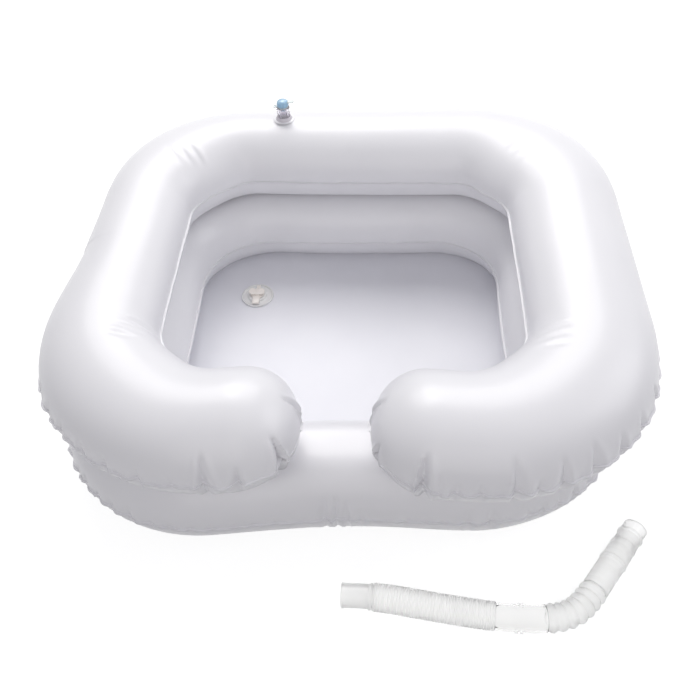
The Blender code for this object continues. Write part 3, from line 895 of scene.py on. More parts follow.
@dataclass
class Chamber:
    """An air chamber: two sheets welded along their edges and blown up.

    Args:
        stations: where its sections stand.
        flange: width of the welded flange.
        thickness: thickness of the sheet.
        puckers: its folds and wrinkles.
        columns: number of faces round half a section.
    """

    stations: Stations
    flange: float
    thickness: float
    puckers: Puckers
    columns: int = 56

    def build(self, form: SheetForm) -> bpy.types.Object:
        """Build one sheet.

        Args:
            form: which of the two sheets.

        Returns:
            The finished sheet, a thin closed shell.
        """
        grid, level, highest = self._plain(form)
        normal = self._normals(grid, form.side)
        outline, inward = self._outline(grid)
        flat, flat_level = grid.reshape(-1, 3), level.reshape(-1)
        drawn = self.puckers.depth_at(flat, flat_level, outline, inward)
        drawn += (SWELL_DEPTH * self.puckers.unevenness(flat)
                  * smoothstep(0.0, SWELL_LEVEL, flat_level))
        if form.side > 0:
            drawn += sum(wrinkle.depth_at(flat) for wrinkle in self.puckers.wrinkles)
        skin = flat - normal.reshape(-1, 3) * drawn[:, None]
        skin[:, 2] += (self.puckers.seam_wave(flat)
                       * (1.0 - smoothstep(0.0, SEAM_LEVEL, flat_level)))
        stand_off = form.side * (skin[:, 2] - form.seam_z)
        skin[:, 2] = form.seam_z + form.side * np.minimum(stand_off, highest.reshape(-1))
        return self._shell(form, skin.reshape(grid.shape), normal)

    def _plain(self, form: SheetForm) -> tuple[Array, Array, Array]:
        """Work out the plain skin.

        Args:
            form: which of the two sheets.

        Returns:
            Its points, each point's distance from the plane of the seam, and the most that may be.
        """
        st = self.stations
        share = np.linspace(0.0, 1.0, self.columns + 1)
        angle = np.pi * (share - SECTION_EASE * np.sin(2 * np.pi * share))
        across = -np.cos(angle)[None, :] * st.half[:, None]
        room = abs(form.limit_z - form.seam_z) - HALF_GAP - self.thickness
        level = room * form.pressed * st.rise[:, None] * np.sin(angle)[None, :]
        highest = np.full(level.shape, UNLIMITED)
        if form.pressed > 1.0:
            free = 1.0 - smoothstep(form.free_x * FREE_FROM, max(form.free_x, NO_WIDTH),
                                    np.abs(st.middle[:, 0]))
            free = free * (st.middle[:, 1] < 0) * (form.free_x > 0)
            limit = room + free[:, None] * FREE_RISE
            held = soft_min(level, limit, PRESS_BLEND) - soft_min(0.0, limit, PRESS_BLEND)
            level = np.where(level > 0, held, 0.0)
            highest = np.broadcast_to(HALF_GAP + self.thickness + limit, level.shape)
        plan = st.middle[:, None, :] + st.outward[:, None, :] * across[:, :, None]
        height = form.seam_z + form.side * (HALF_GAP + self.thickness + level)
        return lifted(plan, height), level, highest

    def _normals(self, grid: Array, side: int) -> Array:
        """Work out the normals of the plain skin. On the seam they lie flat.

        Args:
            grid: points of the plain skin.
            side: 1 for a top sheet, -1 for a bottom sheet.

        Returns:
            The outward normal at each point.
        """
        if self.stations.closed:
            along = np.roll(grid, -1, axis=0) - np.roll(grid, 1, axis=0)
        else:
            along = np.gradient(grid, axis=0)
        normal = unit(np.cross(along, np.gradient(grid, axis=1)) * side)
        out = lifted(self.stations.outward, 0.0)
        normal[:, 0], normal[:, -1] = -out, out
        if not self.stations.closed:
            turn = np.linspace(-1.0, 1.0, normal.shape[1])[:, None]
            share = np.abs(turn) ** 4
            for row, way in TIPS:
                run = np.array([out[row, 1], -out[row, 0], 0.0]) * way
                normal[row] = unit(run * (1.0 - share) + turn * out[row] * share)
        return normal

    def _outline(self, grid: Array) -> tuple[Array, Array]:
        """Find the seam.

        Args:
            grid: points of the plain skin.

        Returns:
            Points of the seam seen from above, and the directions into the sheet.
        """
        out = self.stations.outward
        points, ways = [], []
        for line, into in ((grid[:, -1, :2], -out), (grid[:, 0, :2], out)):
            square = to_left(np.gradient(line, axis=0))
            points.append(line)
            ways.append(unit(square * np.sign((square * into).sum(axis=1))[:, None]))
        if not self.stations.closed:
            for row, way in TIPS:
                points.append(grid[row, :, :2])
                ways.append(np.repeat(to_left(out[row])[None, :] * way, grid.shape[1], axis=0))
        return np.concatenate(points), np.concatenate(ways)

    def _rims(self, number: Array) -> list[Array]:
        """Find the closed rims of the grid.

        Args:
            number: number of each point of the grid.

        Returns:
            The point numbers round each rim.
        """
        if self.stations.closed:
            return [number[:, 0], number[::-1, -1]]
        return [np.concatenate([number[:, 0], number[-1, 1:], number[-2::-1, -1],
                                number[0, -2:0:-1]])]

    def _shell(self, form: SheetForm, skin: Array, normal: Array) -> bpy.types.Object:
        """Join the skin, its flange and its inside to one thin closed shell.

        Args:
            form: which of the two sheets.
            skin: points of the finished skin.
            normal: outward normal at each.

        Returns:
            The sheet.
        """
        rows, columns = skin.shape[:2]
        flat, normals = skin.reshape(-1, 3), normal.reshape(-1, 3)
        inner = flat - normals * self.thickness
        hold = np.maximum if form.side > 0 else np.minimum
        inner[:, 2] = hold(inner[:, 2], form.face_z)
        wave = self.puckers.seam_wave(flat)
        count = rows * columns
        number = np.arange(count).reshape(rows, columns)
        last = rows if self.stations.closed else rows - 1
        here, there = number[:last], np.roll(number, -1, axis=0)[:last]
        quads = np.stack([here[:, :-1], here[:, 1:], there[:, 1:], there[:, :-1]],
                         axis=-1).reshape(-1, 4)
        points, faces = [flat, inner], [quads, quads[:, ::-1] + count]
        start = 2 * count
        for rim in self._rims(number):
            way = normals[rim] * np.array([1.0, 1.0, 0.0])
            way = unit(way + np.roll(way, 1, axis=0) + np.roll(way, -1, axis=0))
            edge = flat[rim] + way * self.flange
            level = form.face_z + wave[rim]
            inner[rim, 2] = level
            points += [edge, lifted(edge[:, :2], level)]
            tip = start + np.arange(len(rim))
            loops = [rim, tip, tip + len(rim), rim + count]
            for one, other in zip(loops, loops[1:]):
                faces.append(np.stack([one, np.roll(one, -1), np.roll(other, -1), other], axis=-1))
            start += 2 * len(rim)
        return mesh_object(form.node + "_skin", np.concatenate(points), np.concatenate(faces),
                           WHITE_SHEET, SHEET_SHARP)


# The folds of each chamber that are in sight: x, y, depth, width, length and lean of each


UPPER_FOLDS = (
    (-0.0352, -0.2040, 0.0074, 0.0024, 0.038, -0.7),
    (-0.0465, -0.2525, 0.0095, 0.0032, 0.031, 0.8),
    (-0.0830, -0.2753, 0.0056, 0.0034, 0.021, 0.5),
    (-0.1130, -0.2797, 0.0060, 0.0036, 0.034, -0.4),
    (-0.1420, -0.2770, 0.0022, 0.0030, 0.011, 0.0),
    (-0.1723, -0.2695, 0.0037, 0.0032, 0.016, 0.3),
    (0.0352, -0.2065, 0.0072, 0.0024, 0.034, 0.6),
    (0.0385, -0.2460, 0.0082, 0.0025, 0.016, -0.5),
    (0.0770, -0.2790, 0.0105, 0.0036, 0.036, -0.8),
    (0.0930, -0.2810, 0.0034, 0.0034, 0.022, 0.4),
    (0.1090, -0.2830, 0.0028, 0.0032, 0.014, 0.0),
    (0.1290, -0.2850, 0.0025, 0.0030, 0.016, 0.2),
    (0.1590, -0.2850, 0.0057, 0.0036, 0.037, -0.5),
    (0.1800, -0.2830, 0.0028, 0.0030, 0.016, 0.3),
    (0.2040, -0.2750, 0.0050, 0.0036, 0.030, 0.4),
    (0.2320, -0.2600, 0.0055, 0.0036, 0.030, -0.3),
    (0.2560, -0.2360, 0.0045, 0.0034, 0.023, 0.3),
    (0.2740, -0.2100, 0.0042, 0.0034, 0.021, -0.2),
    (0.2900, -0.1780, 0.0040, 0.0036, 0.021, 0.4),
    (-0.2050, -0.2580, 0.0037, 0.0032, 0.016, 0.3),
    (-0.2300, -0.2420, 0.0042, 0.0032, 0.016, -0.3),
    (-0.2520, -0.2220, 0.0042, 0.0032, 0.016, 0.2),
    (-0.2700, -0.2000, 0.0045, 0.0032, 0.018, 0.4),
    (-0.2850, -0.1770, 0.0042, 0.0034, 0.018, -0.4),
)
LOWER_FOLDS = (
    (-0.0120, -0.2530, 0.0026, 0.0030, 0.030, 0.4),
    (-0.0010, -0.2530, 0.0034, 0.0028, 0.032, -0.5),
    (0.0090, -0.2530, 0.0030, 0.0028, 0.026, 0.3),
    (0.0230, -0.2540, 0.0016, 0.0034, 0.018, 0.0),
    (0.1250, -0.2590, 0.0020, 0.0034, 0.023, 0.2),
    (0.1460, -0.2600, 0.0025, 0.0034, 0.023, -0.3),
)
BEND_WRINKLES = (
    Wrinkle(-0.1980, 0.1540, -51.0, 0.0120, 0.0009, 0.013),
    Wrinkle(-0.2020, -0.1280, -6.0, 0.0125, 0.0011, 0.013),
    Wrinkle(0.2030, -0.1370, 4.0, 0.0125, 0.0009, 0.012),
    Wrinkle(0.1980, 0.1560, 52.0, 0.0125, 0.0004, 0.012),
)
UPPER_RULE = FoldRule(11, (0.020, 0.034), (0.0016, 0.0034), (0.010, 0.020))
LOWER_RULE = FoldRule(23, (0.015, 0.024), (0.0018, 0.0036), (0.010, 0.018))
SIGHT_Y, SIGHT_X = -0.165, 0.05
CORNER_X, CORNER_Y = 0.29, 0.26
CORNER_TURN = (0.42, 0.72)
CALM_FOLDS = 0.35


@dataclass
class ChamberPair:
    """The two stacked air chambers of the basin.

    Args:
        upper_line: middle line of the upper tube.
        lower_line: middle line of the lower tube.
        upper_half: half the width of the upper tube.
        lower_half: half the width of the lower tube.
        upper_lie: how the upper tube really lies.
        lower_lie: how the lower tube really lies.
        neck_gap: width of the neck notch between the two ends, with their flanges.
        end_length: length of the rounded end of an arm, on its front side.
        bowl_length: the same on the side of the bowl.
        tip_share: how blunt an end is.
        spacing: distance between two sections at the front and at the rear.
        flange: width of the welded flanges.
        thickness: thickness of the sheets.
        lower_seam: height of the lower chamber's weld.
        contact: height where the two chambers lie on each other.
        upper_seam: height of the upper chamber's weld.
        crown: height of the upper chamber's crown.
        press_angle: turn of a section from its crown to where pressing starts, in degrees.
        free_x: half width of the notch, where nothing presses on the lower chamber.
        valve_hole: radius of the holes for the valves.
        hole_depth: half the length of their cuts.
    """

    upper_line: PlanLine = PlanLine(0.243, 0.223, 0.126, 0.135, 0.016, -0.003, 0.13)
    lower_line: PlanLine = PlanLine(0.234, 0.2115, 0.14, 0.105, 0.0125, -0.0035)
    upper_half: float = 0.0602
    lower_half: float = 0.0547
    upper_lie: Lie = Lie(
        (0.0024, -0.0025, -0.0005, 0.0032, -0.0021, -0.0002, -0.001, 0.0009, 0.0),
        (0.0002, 0.0046, -0.0056, -0.0026, 0.0002, 0.0009, -0.0016, -0.0012, 0.0008),
        ((-135.0, -0.0080, 10.0), (-46.0, -0.0036, 9.0), (0.0, 0.0034, 24.0),
         (-160.0, 0.0036, 12.0), (175.0, 0.0015, 12.0)))
    lower_lie: Lie = Lie(
        (0.0022, -0.004, -0.0009, 0.0006, -0.0007, -0.0008, -0.0001, -0.0004, -0.0008),
        (0.0004, -0.0055, -0.0014, -0.0001, 0.0032, -0.0001, -0.0006, -0.0003, 0.0008),
        ((-51.0, -0.0045, 8.0),))
    neck_gap: float = 0.062
    end_length: float = 0.064
    bowl_length: float = 0.047
    tip_share: float = 0.06
    spacing: tuple[float, float] = (0.0016, 0.0032)
    flange: float = 0.002
    thickness: float = 0.0006
    lower_seam: float = 0.041
    contact: float = 0.0895
    upper_seam: float = 0.1295
    crown: float = 0.1805
    press_angle: float = 67.5
    free_x: float = 0.05
    valve_hole: float = 0.0081
    hole_depth: float = 0.01

    def build(self) -> None:
        """Build and dress the four sheets."""
        upper_stations, lower_stations = self._upper_stations(), self.lower_stations(self.spacing)
        upper_folds = self._folds(UPPER_FOLDS, UPPER_RULE, upper_stations,
                                  lambda x, y: y < SIGHT_Y)
        lower_folds = self._folds(LOWER_FOLDS, LOWER_RULE, lower_stations,
                                  lambda x, y: y < 0 and abs(x) < SIGHT_X)
        upper = Chamber(upper_stations, self.flange, self.thickness,
                        Puckers(upper_folds, BEND_WRINKLES, seed=5, wave=0.0011))
        lower = Chamber(lower_stations, self.flange, self.thickness,
                        Puckers(lower_folds, (), seed=8, wave=0.0009))
        pressed = 1.0 / math.sin(math.radians(self.press_angle))
        sheets = [
            (upper, SheetForm("upper_chamber_top_sheet", self.upper_seam, self.crown, 1),
             UPPER_VALVE_PLACE),
            (lower, SheetForm("lower_chamber_top_sheet", self.lower_seam,
                              self.contact - HALF_GAP, 1, pressed, self.free_x),
             LOWER_VALVE_PLACE),
            (upper, SheetForm("upper_chamber_bottom_sheet", self.upper_seam,
                              self.contact + HALF_GAP, -1, pressed), None),
            (lower, SheetForm("lower_chamber_bottom_sheet", self.lower_seam, 0.0, -1, pressed),
             None),
        ]
        upper_top, lower_top, upper_bottom, lower_bottom = [self._sheet(*row) for row in sheets]
        for obj, node in (upper_top, upper_bottom, lower_top, lower_bottom):
            dressed(obj, WHITE_SHEET, ROOT_BODY, node)

    def _sheet(self, chamber: Chamber, form: SheetForm,
               valve_place: Matrix | None) -> tuple[bpy.types.Object, str]:
        """Build one sheet, with the hole for its valve.

        Args:
            chamber: the chamber that it belongs to.
            form: which of the sheets.
            valve_place: seat of its valve, or None.

        Returns:
            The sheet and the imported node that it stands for.
        """
        obj = chamber.build(form)
        if valve_place is not None:
            cut_round_hole(obj, self.valve_hole, self.hole_depth, valve_place)
        return obj, form.node

    def _upper_stations(self) -> Stations:
        """Set the stations of the C.

        Returns:
            The stations, from the left end round the rear to the right end.
        """
        full_x = self.neck_gap / 2 + self.flange + self.end_length
        body, share = self.upper_line.right_half(full_x, self.spacing)
        turn = np.linspace(np.pi / 2, 0.0, TIP_TURNS)[1:]
        front_side = np.sin(turn)
        tip = self.upper_line.front_points(full_x - self.end_length * np.cos(turn))
        left_over = 1.0 - self.end_length * (1.0 - np.cos(turn)) / self.bowl_length
        bowl_side = np.sqrt(1.0 - np.clip(left_over, 0.0, 1.0) ** 2)
        mean = (front_side + bowl_side) / 2
        width = np.concatenate([share, self.tip_share + (1 - self.tip_share) * mean])
        rise = np.concatenate([np.ones(len(body)), front_side])
        aside = np.concatenate([np.zeros(len(body)),
                                self.upper_half * (front_side - bowl_side) / 2])
        return Stations.along(both_sides(np.concatenate([body, tip]), MIRROR),
                              self.upper_half * both_sides(width), both_sides(rise), False,
                              self.upper_lie, both_sides(aside))

    def lower_stations(self, spacing: tuple[float, float]) -> Stations:
        """Set the stations of the closed lower ring.

        Args:
            spacing: distance between two sections at the front and at the rear.

        Returns:
            The stations, clockwise.
        """
        line, share = self.lower_line.ring(spacing)
        return Stations.along(line, self.lower_half * share, np.ones(len(line)), True,
                              self.lower_lie)

    def _folds(self, seen: tuple[tuple[float, ...], ...], rule: FoldRule, stations: Stations,
               in_sight: Callable[[float, float], bool]) -> list[Crease]:
        """Gather the folds of one chamber.

        Args:
            seen: the folds in sight, one by one.
            rule: how the others are spread.
            stations: sections of the chamber.
            in_sight: says of a place whether the folds there are given one by one.

        Returns:
            All its folds.
        """
        spread = rule.creases(stations.seam(),
                              lambda x, y: 0.0 if in_sight(x, y) else self._bend(x, y))
        return [Crease(*fold) for fold in seen] + spread

    @staticmethod
    def _bend(x: float, y: float) -> float:
        """Return how strongly the seam puckers at a place: most at the corners."""
        corner = min(abs(x) / CORNER_X, 1.0) * min(abs(y) / CORNER_Y, 1.0)
        return CALM_FOLDS + (1.0 - CALM_FOLDS) * float(smoothstep(*CORNER_TURN, corner))


# Floor


PULL_WAVES = ((0.00035, 19, 0.6), (0.00025, 31, 2.1))
CROSS_HEIGHT, SLANT_HEIGHT = 0.0004, 0.0003
FLOOR_SPACING = (0.004, 0.004)


@dataclass
class BowlFloor:
    """The floor sheet, welded under the lower chamber.

    Args:
        stations: sections of the lower tube.
        under_seam: how far the sheet's edge lies inside the tube's inner seam.
        top_z: height of its upper face.
        lap: width of the lap under the tube.
        drop: how far the lap goes down.
        thickness: thickness of the sheet.
        rings: number of rings between the edge and the middle.
        crowding: how much closer the rings stand near the edge, 1 for evenly.
        edge_reach: share of the way in that the pull lines reach.
        drain_calm: how far round the drain the sheet is held flat.
        drain_hole: radius of the hole for the drain.
        hole_depth: half the length of its cut.
        sharp: edges that turn more than this many degrees stay sharp.
    """

    stations: Stations
    under_seam: float = 0.0165
    top_z: float = 0.0102
    lap: float = 0.0068
    drop: float = 0.0042
    thickness: float = 0.0006
    rings: int = 46
    crowding: float = 1.15
    edge_reach: float = 0.12
    drain_calm: float = 0.03
    drain_hole: float = 0.0093
    hole_depth: float = 0.006
    sharp: float = 60.0

    def build(self) -> None:
        """Build and dress the floor with its drain hole."""
        stations = self.stations
        edge = stations.middle - stations.outward * (stations.half - self.under_seam)[:, None]
        middle = edge.mean(axis=0)
        shares = 1.0 - np.linspace(0.0, 1.0, self.rings + 1)[:-1] ** self.crowding
        loops = [lifted(edge + stations.outward * self.lap, self.top_z - self.drop)]
        loops += [lifted(middle + (edge - middle) * share, self.top_z) for share in shares]
        grid = np.stack(loops)
        grid[1:, :, 2] += self._swell(grid, 1.0 - shares, middle)
        down = np.array([0.0, 0.0, self.thickness])
        upper = grid.reshape(-1, 3)
        peak = np.array([*middle, grid[-1, :, 2].mean()])
        count = len(upper)
        number = np.arange(count).reshape(grid.shape[:2])
        after = np.roll(number, -1, axis=1)
        quads = np.stack([number[:-1], after[:-1], after[1:], number[1:]], axis=-1).reshape(-1, 4)
        rim = np.stack([number[0], number[0] + count, after[0] + count, after[0]], axis=-1)
        faces = list(np.concatenate([quads, quads[:, ::-1] + count, rim]))
        for a, b in zip(number[-1], after[-1]):
            faces += [(a, b, 2 * count), (b + count, a + count, 2 * count + 1)]
        points = np.concatenate([upper, upper - down, [peak, peak - down]])
        obj = mesh_object("floor_sheet_skin", points, faces, FLOOR_SHEET, self.sharp)
        cut_round_hole(obj, self.drain_hole, self.hole_depth, DRAIN_PLACE)
        dressed(obj, FLOOR_SHEET, ROOT_BODY, "floor_sheet")

    def _swell(self, grid: Array, inside: Array, middle: Array) -> Array:
        """Work out the slight pull lines near the edge and the slow unevenness of the floor.

        Args:
            grid: points of the plain floor, with the lap in the first row.
            inside: share of the way in at each of the other rows.
            middle: middle of the floor.

        Returns:
            How far each point of the other rows stands up.
        """
        x, y = grid[1:, :, 0], grid[1:, :, 1]
        turn = np.arctan2(y - middle[1], x - middle[0])
        lines = sum(height * np.sin(count * turn + start) for height, count, start in PULL_WAVES)
        pull = np.exp(-(inside / self.edge_reach) ** 2)[:, None] * lines
        slow = (CROSS_HEIGHT * np.sin(x * 31 + 1.1) * np.cos(y * 27 + 0.4)
                + SLANT_HEIGHT * np.sin(x * 63 - y * 48))
        drain = DRAIN_PLACE.translation
        near_drain = np.exp(-((x - drain.x) ** 2 + (y - drain.y) ** 2) / self.drain_calm ** 2)
        return (pull + slow * inside[:, None]) * (1.0 - near_drain)


# Mouldings


SIDE_SHARE = 0.45
FLUTE_DEPTH = 0.00022
FLUTED_FROM = 0.75
MOULDING_SHARP = 50.0
BOSS_MARGIN, CAP_MARGIN = 0.0006, 0.0004
LOBE_CURL, LOBE_LIFT, TONGUE_BEND = 10.0, 30.0, 12.0


def rounded_profile(corners: Profile, radius: float, steps: int) -> Profile:
    """Round the corners of a profile, apart from ends that lie on the axis.

    Args:
        corners: the sharp profile.
        radius: radius of the rounding, less where a side is short.
        steps: points on each rounding.

    Returns:
        The rounded profile.
    """
    result, count = [], len(corners)
    for index, corner in enumerate(corners):
        if corners[0][0] == 0.0 and index in (0, count - 1):
            result.append(corner)
            continue
        here = Vector(corner)
        back = Vector(corners[index - 1]) - here
        ahead = Vector(corners[(index + 1) % count]) - here
        reach = min(radius, back.length * SIDE_SHARE, ahead.length * SIDE_SHARE)
        start, end = here + back.normalized() * reach, here + ahead.normalized() * reach
        for step in range(steps + 1):
            share = step / steps
            point = start.lerp(here, share).lerp(here.lerp(end, share), share)
            result.append((point.x, point.y))
    return result


def turned(corners: Profile, rounding: float, segments: int, steps: int = 4,
           flutes: int = 0) -> Shape:
    """Round a profile and turn it about Z.

    Args:
        corners: radius and height of each corner. It makes a ring, or a solid where the first and
            the last corner lie on the axis.
        rounding: radius of the rounding of its corners.
        segments: faces round the axis.
        steps: points on each rounding.
        flutes: number of shallow grooves round its widest part.

    Returns:
        Points and faces.
    """
    profile = rounded_profile(corners, rounding, steps)
    widest = max(radius for radius, _ in profile)
    points, faces = [], []
    for step in range(segments):
        angle = 2 * math.pi * step / segments
        groove = FLUTE_DEPTH * (0.5 + 0.5 * math.cos(flutes * angle)) if flutes else 0.0
        for radius, height in profile:
            if radius > FLUTED_FROM * widest:
                radius -= groove
            points.append((radius * math.cos(angle), radius * math.sin(angle), height))
    count = len(profile)
    for step in range(segments):
        here, there = step * count, (step + 1) % segments * count
        for index in range(count if corners[0][0] > 0.0 else count - 1):
            after = (index + 1) % count
            faces.append((here + index, there + index, there + after, here + after))
    return np.array(points), faces


def flat_ring(inner: float, outer: float, low: float, high: float) -> Profile:
    """Return the profile of a flat ring, or of a disc where the inner radius is 0."""
    return [(inner, low), (outer, low), (outer, high), (inner, high)]


def bar(low: Triple, high: Triple, rounding: float) -> Shape:
    """Return a small bar with rounded edges.

    Args:
        low: its lowest corner.
        high: its highest corner.
        rounding: radius of its edges.

    Returns:
        Points and faces.
    """
    bm = bmesh.new()
    size = [b - a for a, b in zip(low, high)]
    middle = [(a + b) / 2 for a, b in zip(low, high)]
    bmesh.ops.create_cube(bm, size=1.0,
                          matrix=Matrix.Translation(middle) @ Matrix.Diagonal((*size, 1.0)))
    bmesh.ops.bevel(bm, geom=bm.edges[:], offset=rounding, segments=3, profile=0.5,
                    affect="EDGES")
    points = np.array([tuple(vert.co) for vert in bm.verts])
    faces = [tuple(vert.index for vert in face.verts) for face in bm.faces]
    bm.free()
    return points, faces


def moulding(node: str, parts: list[Shape], finish: Finish, body: str,
             place: Matrix) -> bpy.types.Object:
    """Make one moulded piece from its shapes and dress it.

    Args:
        node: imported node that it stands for.
        parts: its shapes.
        finish: what it is made of.
        body: the body that it moves with.
        place: where it stands.

    Returns:
        The piece.
    """
    points, faces, start = [], [], 0
    turn = np.array(place)
    for part_points, part_faces in parts:
        points.append(part_points @ turn[:3, :3].T + turn[:3, 3])
        faces += [tuple(start + number for number in face) for face in part_faces]
        start += len(part_points)
    obj = mesh_object(node + "_moulding", np.concatenate(points), faces, finish, MOULDING_SHARP)
    return dressed(obj, finish, body, node)


@dataclass
class AirValve:
    """A push-in air valve with its plug on a strap. Heights count from the sheet.

    Args:
        prefix: upper or lower.
        place: its seat on the sheet, with Z pointing out.
        flange_r: radius of the welded flange.
        flange_t: thickness of the flange.
        boss_r: greatest radius of the boss that guides the stem.
        boss_top: height of the boss.
        stem_r: radius of the stem.
        bore_r: radius of the stem's bore.
        stem_top: height of the stem's rim.
        stem_low: height of the stem's lower end.
        bead_r: radius of the bead that holds the stem in.
        foot_low: height of the bead's lower face.
        foot_top: height of the bead's upper face.
        flap_r: radius of the check flap.
        flap_t: thickness of the check flap, with its gap.
        cap_r: radius of the plug's cap.
        cap_h: height of the cap.
        stub_r: radius of the plug's stub.
        stub_h: how far the stub reaches into the bore.
        strap_t: thickness of the strap and of the finger tab.
        ring_r: radius of the strap's ring round the plug.
        hinge_x: place of the strap's hinge.
        half_wide: half the width of the lug and of the finger tab.
        strip_wide: half the width of the strap's strip.
        tab_end: how far the finger tab reaches.
        tab_drop: how far the tab lies under the top of the cap.
    """

    prefix: str
    place: Matrix
    flange_r: float = 0.013
    flange_t: float = 0.0006
    boss_r: float = 0.0094
    boss_top: float = 0.0050
    stem_r: float = 0.0075
    bore_r: float = 0.005
    stem_top: float = 0.0165
    stem_low: float = -0.007
    bead_r: float = 0.0084
    foot_low: float = -0.004
    foot_top: float = -0.0025
    flap_r: float = 0.0062
    flap_t: float = 0.001
    cap_r: float = 0.0073
    cap_h: float = 0.0075
    stub_r: float = 0.0047
    stub_h: float = 0.0035
    strap_t: float = 0.0012
    ring_r: float = 0.0066
    hinge_x: float = -0.0112
    half_wide: float = 0.0025
    strip_wide: float = 0.00225
    tab_end: float = 0.0135
    tab_drop: float = 0.0018

    def build(self) -> None:
        """Build and dress the five pieces of the valve."""
        flange = self._piece("flange", [self._flange()], BOSS_PVC, ROOT_BODY)
        away = self.place.inverted()
        paint_where(flange, WHITE_SHEET,
                    lambda spot: (away @ spot).to_2d().length > self.boss_r + BOSS_MARGIN)
        self._piece("stem", [self._stem(), self._lug()], CLEAR_PVC, f"{self.prefix}_stem")
        self._piece("flap", [self._flap()], CLEAR_PVC, f"{self.prefix}_flap")
        plug = self._piece("plug", [self._plug(), self._tab()], BLUE_PVC, f"{self.prefix}_plug")
        paint_where(plug, STRAP_PVC, lambda spot: (away @ spot).x > self.cap_r + CAP_MARGIN)
        self._piece("strap", self._strap(), STRAP_PVC, f"{self.prefix}_plug")

    def _piece(self, word: str, parts: list[Shape], finish: Finish, body: str) -> bpy.types.Object:
        """Make one piece of the valve, dress it and return it."""
        return moulding(f"{self.prefix}_valve_{word}", parts, finish, body, self.place)

    def _flange(self) -> Shape:
        """Shape the thin welded flange with its conical boss.

        Returns:
            Its shape.
        """
        slide, low, top = self.stem_r + FIT_GAP, FIT_GAP, FIT_GAP + self.flange_t
        return turned([(slide, low), (self.flange_r, low), (self.flange_r - 0.0006, top),
                       (self.boss_r + 0.0008, top + 0.0002), (self.boss_r, top + 0.0009),
                       (self.boss_r - 0.0011, self.boss_top), (slide, self.boss_top)],
                      0.0004, 72)

    def _stem(self) -> Shape:
        """Shape the hollow stem, which widens to a rolled rim, with its foot bead.

        Returns:
            Its shape.
        """
        top, wide = self.stem_top, self.stem_r + 0.0004
        return turned([(self.bore_r, self.stem_low), (self.stem_r, self.stem_low),
                       (self.stem_r, self.foot_low), (self.bead_r, self.foot_low),
                       (self.bead_r, self.foot_top), (self.stem_r, self.foot_top),
                       (self.stem_r, top - 0.0024), (wide, top - 0.0014), (wide, top - 0.0005),
                       (self.stem_r - 0.0002, top), (self.bore_r, top)],
                      0.0006, 72)

    def _lug(self) -> Shape:
        """Return the lug that carries the strap's hinge."""
        return bar((self.hinge_x, -self.half_wide, self.stem_top - 0.003),
                   (-0.0062, self.half_wide, self.stem_top - FIT_GAP), 0.0005)

    def _flap(self) -> Shape:
        """Return the check flap under the bore."""
        return turned(flat_ring(0.0, self.flap_r, self.stem_low - self.flap_t,
                                self.stem_low - FIT_GAP), 0.00025, 48, 3)

    def _plug(self) -> Shape:
        """Shape the plug: a stub in the bore and a domed cap with shallow flutes.

        Returns:
            Its shape.
        """
        base, wide = self.stem_top, self.cap_r
        low = base + FIT_GAP + self.strap_t + FIT_GAP
        top = low + self.cap_h
        return turned([(0.0, base - self.stub_h), (self.stub_r - 0.0005, base - self.stub_h),
                       (self.stub_r, base - self.stub_h / 2), (self.stub_r, low),
                       (wide - 0.0004, low), (wide, low + 0.0012), (wide - 0.0002, top - 0.0034),
                       (wide - 0.0012, top - 0.0013), (0.0034, top - 0.0001), (0.0, top)],
                      0.0011, 96, flutes=16)

    def _tab(self) -> Shape:
        """Shape the finger tab on the cap.

        Returns:
            Its shape.
        """
        cap_top = self.stem_top + 2 * FIT_GAP + self.strap_t + self.cap_h
        low = cap_top - self.tab_drop - self.strap_t
        return bar((0.0045, -self.half_wide, low),
                   (self.tab_end, self.half_wide, low + self.strap_t), 0.0005)

    def _strap(self) -> list[Shape]:
        """Shape the ring round the plug and the strip to the hinge.

        Returns:
            The two shapes.
        """
        low = self.stem_top + FIT_GAP
        high = low + self.strap_t
        return [turned(flat_ring(self.bore_r, self.ring_r, low, high), 0.0003, 64, 3),
                bar((self.hinge_x, -self.strip_wide, low), (-0.0058, self.strip_wide, high),
                    0.0004)]


